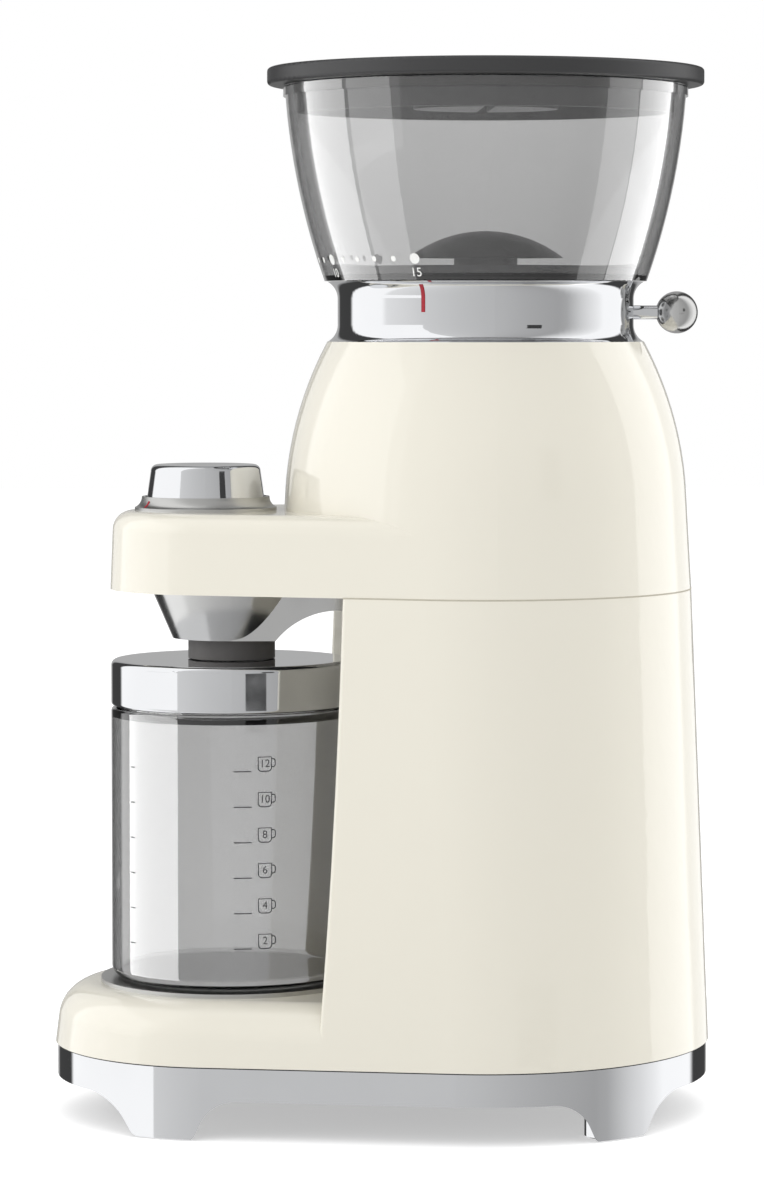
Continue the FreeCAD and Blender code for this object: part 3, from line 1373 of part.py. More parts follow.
def burr_shaft():
    body = new_body("burr_shaft", 0, AXIS_Y)
    top = CONE_TOP + S.nut_h + S.thread_over
    corners = [
        (0, CHASSIS_TOP - S.shaft_stub),
        (S.shaft_r, CHASSIS_TOP - S.shaft_stub),
        (S.shaft_r, CONE_TOP),
        (S.thread_r, CONE_TOP),
        (S.thread_r, top),
        (0, top),
    ]
    revolve(body, corners)
    node(body, "burr_shaft")
    nut = new_body("burr_nut", 0, AXIS_Y)
    corner_r = S.nut_af / 2 / cosine(30)
    hexagon = [(corner_r * cosine(60 * step), corner_r * sine(60 * step)) for step in range(6)]
    outline = draw(sketch_on(nut, "XY_Plane", CONE_TOP), hexagon)
    draw_circle(outline, S.thread_r + S.fit)
    pad(nut, outline, S.nut_h)
    node(nut, "burr_nut")


def shaft_bushes():
    """Bronze bushes in the chassis plate and the gear case, and the seal over the upper one."""
    bore = S.shaft_r + S.fit
    items = []
    for label, low, high in (("low", CHASSIS_Z, CHASSIS_TOP), ("high", CASE_TOP - S.case_top, CASE_TOP)):
        body = new_body(f"bush_{label}", 0, AXIS_Y)
        revolve(body, rectangle(bore, S.bush_r, low, high))
        items.append(body)
    group("shaft_bushes", items)
    seal = new_body("shaft_seal", 0, AXIS_Y)
    revolve(seal, rectangle(bore, S.seal_r, CASE_TOP, CHAMBER_FLOOR))
    node(seal, "shaft_seal")


def burr_chamber():
    """Cup round the burrs, with a window to the chute and a flange under the neck."""
    body = new_body("chamber_body", 0, AXIS_Y)
    hole = S.seal_r + S.fit
    flange_top = S.neck_z - S.wall - S.gap
    flange_z = flange_top - S.chamber_flange_t
    corners = [
        (hole, CASE_TOP),
        (S.chamber_r, CASE_TOP),
        (S.chamber_r, flange_z),
        (S.chamber_flange_r, flange_z),
        (S.chamber_flange_r, flange_top),
        (S.chamber_r, flange_top),
        (S.chamber_r, CHAMBER_TOP),
        (CHAMBER_BORE, CHAMBER_TOP),
        (CHAMBER_BORE, CHAMBER_FLOOR),
        (hole, CHAMBER_FLOOR),
    ]
    revolve(body, corners)
    window = rectangle(-WINDOW_W / 2, WINDOW_W / 2, CHAMBER_FLOOR, CHAMBER_FLOOR + S.window_h)
    pocket(body, draw(sketch_on(body, "XZ_Plane"), window), 2 * S.chamber_r, reverse=True)
    places = [(x, AXIS_Y + y) for x, y in collar_screw_places()]
    holes = screw_holes("chamber_hole", places, flange_z, S.chamber_flange_t)
    node(cut("burr_chamber_cut", body, holes), "burr_chamber")


def chassis():
    """Plate that carries the motor under it and the gears on top, on four posts."""
    plate = cylinder("chassis_disc", CHASSIS_R, S.chassis_t, 0, AXIS_Y, CHASSIS_Z)
    tools = [
        cylinder("chassis_front", S.chassis_front_r, S.chassis_t, 0, JAR_Y, CHASSIS_Z),
        cylinder("chassis_bush", S.bush_r + S.fit, S.chassis_t, 0, AXIS_Y, CHASSIS_Z),
        cylinder("chassis_motor", 2 * S.motor_shaft_r, S.chassis_t, 0, MOTOR_Y, CHASSIS_Z),
        cylinder("chassis_pin", S.idler_pin_r + S.fit, S.chassis_t, IDLER_X, IDLER_Y, CHASSIS_Z),
    ]
    tools += screw_holes("chassis_hole", post_places(), CHASSIS_Z, S.chassis_t)
    tools += screw_holes("chassis_motor_hole", motor_screw_places(), CHASSIS_Z, S.chassis_t)
    node(cut("chassis_plate_cut", plate, tools), "chassis_plate")
    posts = []
    hole = S.screw_r + S.fit
    hole_z = CHASSIS_TOP - S.screw_length - S.gap
    for index, (x, y) in enumerate(post_places()):
        post = new_body(f"post_{index}", x, y)
        corners = [
            (0, BASE_PLATE_TOP),
            (S.post_r, BASE_PLATE_TOP),
            (S.post_r, CHASSIS_Z),
            (hole, CHASSIS_Z),
            (hole, hole_z),
            (0, hole_z),
        ]
        revolve(post, corners)
        posts.append(post)
    group("chassis_posts", posts)
    screws("chassis_screws", post_places(), CHASSIS_TOP)
    screws("motor_screws", motor_screw_places(), CHASSIS_TOP)


def case_rooms(name, extra, height):
    """Three cylinders round the gears."""
    rooms = (
        ("output", OUTPUT_TIP, 0, AXIS_Y),
        ("idler", IDLER_TIP, IDLER_X, IDLER_Y),
        ("motor", MOTOR_TIP, 0, MOTOR_Y),
    )
    items = [
        cylinder(f"{name}_{label}", tip + extra, height, x, y, CHASSIS_TOP)
        for label, tip, x, y in rooms
    ]
    return fuse(name, items)


def gear_case():
    outer = case_rooms("case_outer", S.case_room + S.case_wall, S.case_h)
    tools = [
        case_rooms("case_inner", S.case_room, S.case_h - S.case_top),
        cylinder("case_bush", S.bush_r + S.fit, S.case_h, 0, AXIS_Y, CHASSIS_TOP),
        cylinder("case_pin", S.idler_pin_r + S.fit, PIN_TOP - CHASSIS_TOP, IDLER_X, IDLER_Y, CHASSIS_TOP),
    ]
    node(cut("gear_case_cut", outer, tools), "gear_case")
    pin = cylinder("idler_pin", S.idler_pin_r, PIN_TOP - CHASSIS_Z, IDLER_X, IDLER_Y, CHASSIS_Z)
    node(pin, "idler_pin")


def involute(angle):
    return math.tan(angle) - angle


def gear_outline(teeth, tooth_angle):
    """Points round an involute gear that has a tooth in the direction tooth_angle."""
    module = S.gear_module.value
    pressure = math.radians(S.pressure_angle.value)
    pitch_r = module * teeth / 2
    base_r = pitch_r * math.cos(pressure)
    tip_r = pitch_r + S.gear_addendum.value * module
    foot_r = pitch_r - (S.gear_addendum.value + S.gear_root.value) * module
    half_tooth = math.pi / (2 * teeth) - S.gear_backlash.value / (4 * pitch_r)
    start_r = max(base_r, foot_r)
    flank_steps = 5
    radii = [start_r + (tip_r - start_r) * step / flank_steps for step in range(flank_steps + 1)]
    flank = [(r, half_tooth + involute(pressure) - involute(math.acos(base_r / r))) for r in radii]
    if foot_r < base_r:
        flank.insert(0, (foot_r, flank[0][1]))
    points = []
    for tooth in range(teeth):
        middle = tooth_angle + 2 * math.pi * tooth / teeth
        side = [(r, middle - half) for r, half in flank]
        other_side = [(r, middle + half) for r, half in reversed(flank)]
        points += [(r * math.cos(angle), r * math.sin(angle)) for r, angle in side + other_side]
    return points


def gear_blank(name, teeth, tooth_angle, width, x, y, z):
    """A toothed disc; its outline is too long for a sketch."""
    points = [FreeCAD.Vector(px, py, 0) for px, py in gear_outline(int(teeth.value), tooth_angle)]
    face = Part.Face(Part.makePolygon(points + points[:1]))
    item = doc.addObject("Part::Feature", name)
    item.Shape = face.extrude(FreeCAD.Vector(0, 0, width.value))
    return place(item, x, y, z)


def gears():
    """Two stages of spur gears, each pair set tooth to gap along its line of centres."""
    to_idler = math.atan2(IDLER_BACK.value, IDLER_X.value)
    to_motor = math.atan2(S.motor_back.value - IDLER_BACK.value, -IDLER_X.value)
    half_pitch = {
        name: math.pi / teeth.value
        for name, teeth in (("idler", S.idler_pinion_teeth), ("motor", S.motor_teeth))
    }
    teeth = gear_blank("output_blank", S.output_teeth, to_idler, S.output_w, 0, AXIS_Y, OUTPUT_Z)
    hub = cylinder("output_hub", S.output_hub_r, S.output_hub_h, 0, AXIS_Y, OUTPUT_TOP)
    bore_h = S.output_w + S.output_hub_h
    bore = cylinder("output_bore", S.shaft_r + S.fit, bore_h, 0, AXIS_Y, OUTPUT_Z)
    node(cut("output_gear_cut", fuse("output_solid", [teeth, hub]), [bore]), "output_gear")

    wheel = gear_blank("idler_wheel", S.idler_teeth, to_motor, S.idler_w, IDLER_X, IDLER_Y, IDLER_Z)
    pinion_h = OUTPUT_TOP - IDLER_TOP
    gap_angle = to_idler + math.pi + half_pitch["idler"]
    pinion = gear_blank(
        "idler_pinion", S.idler_pinion_teeth, gap_angle, pinion_h, IDLER_X, IDLER_Y, IDLER_TOP
    )
    pin_bore = S.idler_pin_r + S.fit
    bore = cylinder("idler_bore", pin_bore, OUTPUT_TOP - IDLER_Z, IDLER_X, IDLER_Y, IDLER_Z)
    node(cut("idler_gear_cut", fuse("idler_solid", [wheel, pinion]), [bore]), "idler_gear")

    gap_angle = to_motor + math.pi + half_pitch["motor"]
    blank = gear_blank("motor_blank", S.motor_teeth, gap_angle, S.idler_w, 0, MOTOR_Y, IDLER_Z)
    bore = cylinder("motor_bore", S.motor_shaft_r + S.fit, S.idler_w, 0, MOTOR_Y, IDLER_Z)
    node(cut("motor_pinion_cut", blank, [bore]), "motor_pinion")


def motor():
    """Motor can under the chassis plate, with magnets, rotor and end cap."""
    can = new_body("can_body", 0, MOTOR_Y)
    inside = S.motor_r - S.motor_wall
    bore = S.motor_shaft_r + S.fit
    top_z = CHASSIS_Z - 2 * S.motor_wall
    corners = [
        (inside, MOTOR_Z),
        (S.motor_r, MOTOR_Z),
        (S.motor_r, CHASSIS_Z),
        (bore, CHASSIS_Z),
        (bore, top_z),
        (inside, top_z),
    ]
    revolve(can, corners)
    holes = screw_holes("can_hole", motor_screw_places(), top_z, 2 * S.motor_wall)
    node(cut("motor_can_cut", can, holes), "motor_can")

    ring = new_body("magnet_ring", 0, MOTOR_Y)
    revolve(
        ring, rectangle(S.rotor_r + S.magnet_gap, inside - S.fit, ROTOR_Z, ROTOR_Z + S.rotor_h)
    )
    split = block("magnet_gap", S.magnet_split, 2 * S.motor_r, S.rotor_h, 0, MOTOR_Y, ROTOR_Z)
    node(cut("motor_magnets_cut", ring, [split]), "motor_magnets")

    rotor = new_body("motor_rotor", 0, MOTOR_Y)
    corners = [
        (0, MOTOR_Z - S.motor_cap_h),
        (S.motor_shaft_r, MOTOR_Z - S.motor_cap_h),
        (S.motor_shaft_r, COMMUTATOR_Z),
        (S.commutator_r, COMMUTATOR_Z),
        (S.commutator_r, COMMUTATOR_Z + S.commutator_h),
        (S.motor_shaft_r, COMMUTATOR_Z + S.commutator_h),
        (S.motor_shaft_r, ROTOR_Z),
        (S.rotor_r, ROTOR_Z),
        (S.rotor_r, ROTOR_Z + S.rotor_h),
        (S.motor_shaft_r, ROTOR_Z + S.rotor_h),
        (S.motor_shaft_r, IDLER_TOP),
        (0, IDLER_TOP),
    ]
    revolve(rotor, corners)
    node(rotor, "motor_rotor")

    cap_z = MOTOR_Z - S.motor_cap_h
    cap = new_body("cap_body", 0, MOTOR_Y)
    revolve(cap, rectangle(bore, S.motor_r, cap_z, MOTOR_Z))
    terminals = [
        block(
            f"terminal_{index}", S.terminal_t, S.terminal_w, S.terminal_h,
            side * S.motor_r / 2, MOTOR_Y, cap_z - S.terminal_h,
        )
        for index, side in enumerate((-1, 1))
    ]
    node(fuse("motor_end_cap_solid", [cap] + terminals), "motor_end_cap")


def knob():
    """Chrome knob in a satin bezel, on an encoder that it turns and presses."""
    bezel = new_body("knob_bezel", 0, KNOB_Y)
    floor = S.arm_top_z + S.bezel_floor
    rim = S.arm_top_z + S.bezel_h
    lip = S.knob_r + 2 * S.gap
    hole = S.encoder_bush_r + S.gap
    corners = [
        (hole, S.arm_top_z),
        (S.bezel_r, S.arm_top_z),
        (S.bezel_r, S.arm_top_z + S.bezel_edge, S.bezel_curve, -1),
        (lip + S.bezel_lip, rim),
        (lip, rim),
        (lip, floor),
        (hole, floor),
    ]
    revolve(bezel, corners)
    node(bezel, "knob_bezel")

    body = new_body("knob", 0, KNOB_Y)
    bore = S.encoder_shaft_r + S.fit
    under_top = KNOB_TOP - S.knob_wall
    hub = 2 * S.encoder_shaft_r
    dish_r = S.knob_top_r - S.knob_round - S.knob_rim
    corners = [
        (bore, KNOB_Z),
        (hub, KNOB_Z),
        (hub, under_top),
        (S.knob_top_r - S.knob_wall, under_top),
        (S.knob_r - S.knob_wall, KNOB_Z),
        (S.knob_r, KNOB_Z),
        (S.knob_top_r, KNOB_TOP - S.knob_round, S.knob_round, 1),
        (S.knob_top_r - S.knob_round, KNOB_TOP),
        (dish_r, KNOB_TOP, tangent_curve(dish_r, S.knob_dish), -1),
        (0, KNOB_TOP - S.knob_dish),
        (0, under_top),
        (bore, under_top),
    ]
    revolve(body, corners)
    node(body, "knob")

    shaft_z = ENCODER_FLOOR + S.knob_travel + S.knob_room
    shaft = cylinder("encoder_shaft", S.encoder_shaft_r, under_top - shaft_z, 0, KNOB_Y, shaft_z)
    node(shaft, "encoder_shaft")
    rotor = new_body("encoder_rotor", 0, KNOB_Y)
    revolve(rotor, rectangle(bore, ROTOR_R, ENCODER_FLOOR + S.gap, BUSH_TOP))
    node(rotor, "encoder_rotor")
    case = block("encoder_case", S.encoder_w, S.encoder_w, S.encoder_h, 0, KNOB_Y, ENCODER_Z)
    bush = cylinder("encoder_bush", S.encoder_bush_r, S.encoder_bush_h, 0, KNOB_Y, ENCODER_TOP)
    room = cylinder("encoder_room", ROTOR_R + S.fit, BUSH_TOP - ENCODER_FLOOR, 0, KNOB_Y, ENCODER_FLOOR)
    node(cut("encoder_cut", fuse("encoder_solid", [case, bush]), [room]), "encoder")


def control_board():
    """Board under the platform, on legs, with its power supply and two capacitors."""
    board_z = BASE_PLATE_TOP + S.board_lift
    top = board_z + S.board_t
    items = [block("board", S.board_x, S.board_y, S.board_t, 0, JAR_Y, board_z)]
    for x_side in (-1, 1):
        for y_side in (-1, 1):
            x = x_side * (S.board_x - S.board_leg) / 2
            y = JAR_Y + y_side * (S.board_y - S.board_leg) / 2
            name = f"board_leg_{len(items)}"
            items.append(block(name, S.board_leg, S.board_leg, S.board_lift, x, y, BASE_PLATE_TOP))
        x = x_side * S.board_x / 4
        y = JAR_Y - S.board_y / 4
        items.append(cylinder(f"capacitor_{len(items)}", S.capacitor_r, S.capacitor_h, x, y, top))
    supply_y = JAR_Y + S.board_y / 5
    items.append(block("supply", S.supply_x, S.supply_y, S.supply_h, 0, supply_y, top))
    node(fuse("control_board_solid", items), "control_board")


for make in (
    lower_shell,
    upper_shell,
    arm_underplate,
    base_frame,
    base_plate,
    cord_gland,
    jar_seat,
    jar,
    jar_cap,
    spout,
    chute,
    neck_collar,
    lock_ring,
    hopper_bowl,
    hopper_base,
    bean_guard,
    hopper_lid,
    adjuster_ring,
    burr_carrier,
    burrs,
    sweeper,
    burr_shaft,
    shaft_bushes,
    burr_chamber,
    chassis,
    gear_case,
    gears,
    motor,
    knob,
    control_board,
):
    make()
doc.recompute()

for item in doc.Objects:
    if "Invalid" in item.State or "Error" in item.State:
        raise RuntimeError(f"{item.Label} has state {item.State}")
os.makedirs("parts", exist_ok=True)
for item in NODES:
    if not item.Shape.isValid() or not item.Shape.Solids:
        raise RuntimeError(f"{item.Label} is not a valid solid")
    item.Shape.exportStep(f"parts/{item.Label}.step")
    print(f"{item.Label}: {len(item.Shape.Solids)} solid, {item.Shape.Volume / 1000:.2f} cm3")
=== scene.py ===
"""Looks of a countertop burr coffee grinder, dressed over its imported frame."""

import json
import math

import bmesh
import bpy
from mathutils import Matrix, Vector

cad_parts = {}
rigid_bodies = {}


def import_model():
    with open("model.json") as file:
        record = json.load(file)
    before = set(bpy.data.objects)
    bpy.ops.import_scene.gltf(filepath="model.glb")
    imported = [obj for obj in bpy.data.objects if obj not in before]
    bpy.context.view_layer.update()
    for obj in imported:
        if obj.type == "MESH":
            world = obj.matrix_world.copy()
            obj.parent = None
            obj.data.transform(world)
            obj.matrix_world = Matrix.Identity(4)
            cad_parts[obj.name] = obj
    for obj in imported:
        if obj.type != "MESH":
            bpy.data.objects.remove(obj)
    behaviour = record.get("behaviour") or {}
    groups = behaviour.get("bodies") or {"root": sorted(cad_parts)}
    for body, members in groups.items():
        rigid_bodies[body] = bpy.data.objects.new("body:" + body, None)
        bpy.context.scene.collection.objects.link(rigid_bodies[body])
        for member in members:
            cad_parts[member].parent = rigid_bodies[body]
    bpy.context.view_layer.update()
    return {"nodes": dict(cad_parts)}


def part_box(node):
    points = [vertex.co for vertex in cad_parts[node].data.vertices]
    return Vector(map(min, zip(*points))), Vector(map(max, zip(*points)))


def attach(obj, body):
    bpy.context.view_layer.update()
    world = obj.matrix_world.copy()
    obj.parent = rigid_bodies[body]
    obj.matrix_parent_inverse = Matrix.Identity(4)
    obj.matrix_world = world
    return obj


bl_info = {
    "name": "Burr coffee grinder",
    "version": (1, 0, 0),
    "blender": (4, 5, 0),
    "location": "3D View > Sidebar > Grinder",
    "description": "Finishes, printed scales and studio of a burr coffee grinder",
    "category": "Object",
}

for stray in list(bpy.data.objects):
    bpy.data.objects.remove(stray)

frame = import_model()

MM = 0.001
TURN = 2 * math.pi


def srgb(code):
    """Linear RGBA of an sRGB hex colour."""
    levels = [int(code[i : i + 2], 16) / 255 for i in (0, 2, 4)]
    linear = [v / 12.92 if v <= 0.04045 else ((v + 0.055) / 1.055) ** 2.4 for v in levels]
    return (*linear, 1.0)


def middle_of(node):
    """Middle of a node's box, in metres."""
    low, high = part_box(node)
    return (Vector(low) + Vector(high)) / 2


def size_of(node):
    """Width, depth and height of a node's box, in metres."""
    low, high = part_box(node)
    return Vector(high) - Vector(low)


COLUMN_Y = middle_of("neck_collar").y
JAR_Y = middle_of("jar").y
DIAL_Y = middle_of("knob").y
JAR_R = size_of("jar").x / 2
SEAM_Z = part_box("lower_shell")[1][2]


class GrinderColours(bpy.types.PropertyGroup):
    """Colours of the finishes."""

    cream: bpy.props.FloatVectorProperty(
        name="Enamel",
        description="Colour of the painted shells",
        default=srgb("e6e2d5"),
        subtype="COLOR",
        size=4,
    )
    lid_grey: bpy.props.FloatVectorProperty(
        name="Lid",
        description="Colour of the lid, the bean guard and the hopper floor",
        default=srgb("343435"),
        subtype="COLOR",
        size=4,
    )
    chrome: bpy.props.FloatVectorProperty(
        name="Chrome",
        description="Colour of the plated pieces",
        default=srgb("dfe0e2"),
        subtype="COLOR",
        size=4,
    )
    white_print: bpy.props.FloatVectorProperty(
        name="White print",
        description="Colour of the scale on the hopper",
        default=srgb("f4f4f2"),
        subtype="COLOR",
        size=4,
    )
    grey_print: bpy.props.FloatVectorProperty(
        name="Grey print",
        description="Colour of the scale on the jar",
        default=srgb("3e3e3f"),
        subtype="COLOR",
        size=4,
    )
    red_print: bpy.props.FloatVectorProperty(
        name="Red print",
        description="Colour of the pointer and the dial mark",
        default=srgb("a8202f"),
        subtype="COLOR",
        size=4,
    )
    hopper_smoke: bpy.props.FloatProperty(
        name="Hopper smoke",
        description="Light lost per metre of the hopper's wall",
        default=120.0,
        min=0.0,
    )
    jar_smoke: bpy.props.FloatProperty(
        name="Jar smoke",
        description="Light lost per metre of the jar's wall",
        default=180.0,
        min=0.0,
    )


class GrinderSizes(bpy.types.PropertyGroup):
    """Sizes of the printed marks."""

    large_dot: bpy.props.FloatProperty(
        name="Large dot",
        description="Width of every fifth dot of the grind scale",
        default=4.0 * MM,
        unit="LENGTH",
    )
    small_dot: bpy.props.FloatProperty(
        name="Small dot",
        description="Width of the other dots of the grind scale",
        default=2.2 * MM,
        unit="LENGTH",
    )
    setting_digit: bpy.props.FloatProperty(
        name="Setting number",
        description="Height of the numbers of the grind scale",
        default=3.3 * MM,
        unit="LENGTH",
    )
    cup_digit: bpy.props.FloatProperty(
        name="Cup number",
        description="Height of the numbers of the jar's scale",
        default=2.9 * MM,
        unit="LENGTH",
    )
    setting_step: bpy.props.FloatProperty(
        name="Setting step",
        description="Turn of the hopper from one setting to the next",
        default=math.radians(8.0),
        unit="ROTATION",
    )
    pointer_turn: bpy.props.FloatProperty(
        name="Pointer place",
        description="Place of the pointer round the collar",
        default=math.radians(-27.5),
        unit="ROTATION",
    )
    print_lift: bpy.props.FloatProperty(
        name="Print lift",
        description="How far a print stands off its wall",
        default=0.06 * MM,
        unit="LENGTH",
    )


def colours():
    """Colours set in the panel."""
    return bpy.context.scene.grinder_colours


def sizes():
    """Sizes set in the panel."""
    return bpy.context.scene.grinder_sizes


def add_node(tree, kind, inputs=None, stops=None, **settings):
    """Add a node; inputs hold values or sockets to link, stops a ramp's places and colours."""
    node = tree.nodes.new(kind)
    for key, value in settings.items():
        setattr(node, key, value)
    for key, value in (inputs or {}).items():
        if isinstance(value, bpy.types.NodeSocket):
            tree.links.new(value, node.inputs[key])
        else:
            node.inputs[key].default_value = value
    if stops:
        elements = node.color_ramp.elements
        elements[0].position, elements[0].color = stops[0]
        elements[-1].position, elements[-1].color = stops[-1]
        for place, colour in stops[1:-1]:
            elements.new(place).color = colour
    return node


def new_surface(name, sockets):
    """New material of one shader with the given sockets: the material, its tree and shader."""
    material = bpy.data.materials.new(name)
    material.use_nodes = True
    tree = material.node_tree
    tree.nodes.clear()
    shader = add_node(tree, "ShaderNodeBsdfPrincipled", sockets)
    add_node(tree, "ShaderNodeOutputMaterial", {"Surface": shader.outputs["BSDF"]})
    return material, tree, shader


def grain(tree, shader, width, depth, gloss):
    """Lift the skin and spread its roughness by a noise; its width and depth are in millimetres."""
    place = add_node(tree, "ShaderNodeTexCoord").outputs["Object"]
    noise = add_node(tree, "ShaderNodeTexNoise", {"Vector": place, "Scale": 1 / (width * MM)})
    height = noise.outputs["Fac"]
    spread = {"Value": height, "To Min": gloss[0], "To Max": gloss[1]}
    # Most of the noise lies in this span.
    spread.update({"From Min": 0.3, "From Max": 0.7})
    rough = add_node(tree, "ShaderNodeMapRange", spread)
    bump = add_node(tree, "ShaderNodeBump", {"Height": height, "Distance": depth * MM})
    tree.links.new(rough.outputs["Result"], shader.inputs["Roughness"])
    tree.links.new(bump.outputs["Normal"], shader.inputs["Normal"])


def mottle(tree, shader, width, colour, drop):
    """Let the colour drift darker by a share, in patches of one width in millimetres."""
    place = add_node(tree, "ShaderNodeTexCoord").outputs["Object"]
    noise = add_node(tree, "ShaderNodeTexNoise", {"Vector": place, "Scale": 1 / (width * MM)})
    dark = [v * (1 - drop) for v in colour[:3]] + [1.0]
    stops = [(0.35, dark), (0.65, list(colour))]
    ramp = add_node(tree, "ShaderNodeValToRGB", {"Fac": noise.outputs["Fac"]}, stops)
    tree.links.new(ramp.outputs["Color"], shader.inputs["Base Color"])


def cream_gloss_enamel(name):
    # Enamel sprayed on moulded shells: a smooth cream gloss with a faint orange-peel ripple.
    material, tree, shader = new_surface(name, {"IOR": 1.52})
    mottle(tree, shader, 110.0, colours().cream, 0.008)
    grain(tree, shader, 3.0, 0.0006, (0.04, 0.06))
    return material


def bright_chrome_plate(name):
    # Chrome plated over polished castings: a mirror with a faint haze left by the buffing wheel.
    material, tree, shader = new_surface(name, {"Metallic": 1.0})
    mottle(tree, shader, 35.0, colours().chrome, 0.03)
    grain(tree, shader, 12.0, 0.0008, (0.03, 0.07))
    return material


def satin_aluminium(name, centre_y):
    # Turned and clear anodised aluminium: a soft sheen drawn out round fine tool rings.
    # The rings are drawn 0.6 mm apart, coarser than a real turning, so that they show.
    material, tree, shader = new_surface(name, {"Metallic": 1.0, "Anisotropic": 0.4})
    mottle(tree, shader, 20.0, srgb("c4c4c2"), 0.04)
    place = add_node(tree, "ShaderNodeTexCoord").outputs["Object"]
    centre = (0.0, -centre_y, 0.0)
    shift = add_node(tree, "ShaderNodeVectorMath", {0: place, 1: centre}, operation="ADD")
    # At a scale of 1 the wave runs through 20 radians in a metre.
    ring_gap, wave_rate = 0.6 * MM, 20
    waves = {"Vector": shift.outputs["Vector"], "Distortion": 0.4}
    waves["Scale"] = TURN / (wave_rate * ring_gap)
    rings = add_node(
        tree, "ShaderNodeTexWave", waves, wave_type="RINGS", rings_direction="Z", wave_profile="SIN"
    )
    sockets = {"Height": rings.outputs["Fac"], "Distance": 0.004 * MM}
    bump = add_node(tree, "ShaderNodeBump", sockets)
    tree.links.new(bump.outputs["Normal"], shader.inputs["Normal"])
    shader.inputs["Roughness"].default_value = 0.32
    return material


def bezel_satin(name):
    return satin_aluminium(name, DIAL_Y)


def seat_satin(name):
    return satin_aluminium(name, JAR_Y)


def cast_spout_plate(name):
    # Satin nickel on a pressed spout: metal that blurs what it mirrors.
    material, tree, shader = new_surface(name, {"Metallic": 1.0})
    mottle(tree, shader, 25.0, srgb("cfcfce"), 0.03)
    grain(tree, shader, 6.0, 0.001, (0.14, 0.20))
    return material


def smoke_polycarbonate(name, density):
    # Moulded clear polycarbonate with a smoke tint: the colour deepens with the wall seen through.
    sockets = {"Base Color": srgb("ffffff"), "Transmission Weight": 1.0, "IOR": 1.58}
    sockets.update({"Coat Weight": 0.8, "Coat Roughness": 0.0})
    material, tree, shader = new_surface(name, sockets)
    grain(tree, shader, 30.0, 0.002, (0.0, 0.004))
    smoke = {"Color": srgb("000000"), "Density": density}
    tint = add_node(tree, "ShaderNodeVolumeAbsorption", smoke)
    output = next(node for node in tree.nodes if node.type == "OUTPUT_MATERIAL")
    tree.links.new(tint.outputs["Volume"], output.inputs["Volume"])
    return material


def hopper_smoke(name):
    return smoke_polycarbonate(name, colours().hopper_smoke)


def jar_smoke(name):
    return smoke_polycarbonate(name, colours().jar_smoke)


def grained_abs(name):
    # ABS moulded in a spark-eroded tool: a matt dark grey with a fine leathery grain.
    # The grain is drawn 0.7 mm wide, coarser than the real one, so that it shows.
    material, tree, shader = new_surface(name, {"IOR": 1.53})
    mottle(tree, shader, 40.0, colours().lid_grey, 0.04)
    grain(tree, shader, 0.7, 0.004, (0.36, 0.44))
    return material


def grey_silicone(name):
    # Moulded silicone rubber: matt grey with a soft bloom.
    sockets = {"IOR": 1.43, "Sheen Weight": 0.15, "Sheen Roughness": 0.5}
    material, tree, shader = new_surface(name, sockets)
    mottle(tree, shader, 9.0, srgb("6e6c6b"), 0.08)
    grain(tree, shader, 1.2, 0.01, (0.55, 0.68))
    return material


def black_rubber(name):
    # Nitrile rubber: nearly black and dull, with a pitted skin.
    material, tree, shader = new_surface(name, {"IOR": 1.52})
    mottle(tree, shader, 7.0, srgb("262626"), 0.12)
    grain(tree, shader, 1.0, 0.015, (0.6, 0.75))
    return material


def black_polyamide(name):
    # Glass filled polyamide: black with a dull, slightly cloudy skin.
    material, tree, shader = new_surface(name, {"IOR": 1.53})
    mottle(tree, shader, 12.0, srgb("2f3032"), 0.10)
    grain(tree, shader, 1.4, 0.012, (0.42, 0.55))
    return material


def white_acetal(name):
    # Machined acetal: milky white and waxy.
    material, tree, shader = new_surface(name, {"IOR": 1.48, "Subsurface Weight": 0.1})
    mottle(tree, shader, 8.0, srgb("e9e6dc"), 0.05)
    grain(tree, shader, 2.0, 0.006, (0.34, 0.44))
    return material


def ground_burr_steel(name):
    # Hardened and ground steel: bright grey with fine grinding haze.
    material, tree, shader = new_surface(name, {"Metallic": 1.0})
    mottle(tree, shader, 6.0, srgb("b9b7b3"), 0.08)
    grain(tree, shader, 0.8, 0.003, (0.22, 0.32))
    return material


def zinc_plated_steel(name):
    # Zinc plated screws: pale blue-grey with a slightly uneven bloom.
    material, tree, shader = new_surface(name, {"Metallic": 1.0})
    mottle(tree, shader, 3.0, srgb("c2c6c9"), 0.12)
    grain(tree, shader, 0.7, 0.004, (0.24, 0.36))
    return material


def rolled_motor_steel(name):
    # Rolled and galvanised motor can: dull grey with cloudy spangle.
    material, tree, shader = new_surface(name, {"Metallic": 1.0})
    mottle(tree, shader, 5.0, srgb("a9abac"), 0.15)
    grain(tree, shader, 2.5, 0.004, (0.3, 0.42))
    return material


def sintered_ferrite(name):
    # Sintered ferrite: charcoal, matt and faintly speckled.
    material, tree, shader = new_surface(name, {"IOR": 1.8})
    mottle(tree, shader, 1.5, srgb("3a3a3c"), 0.2)
    grain(tree, shader, 0.8, 0.01, (0.55, 0.7))
    return material


def oiled_bronze(name):
    # Sintered bronze: warm metal, dulled by its pores and oil.
    material, tree, shader = new_surface(name, {"Metallic": 1.0})
    mottle(tree, shader, 2.0, srgb("b08a52"), 0.15)
    grain(tree, shader, 0.6, 0.006, (0.3, 0.42))
    return material


def cast_chassis_aluminium(name):
    # Die cast aluminium, left as cast: pale grey and softly rough.
    material, tree, shader = new_surface(name, {"Metallic": 1.0})
    mottle(tree, shader, 10.0, srgb("b4b5b6"), 0.10)
    grain(tree, shader, 1.6, 0.015, (0.42, 0.55))
    return material


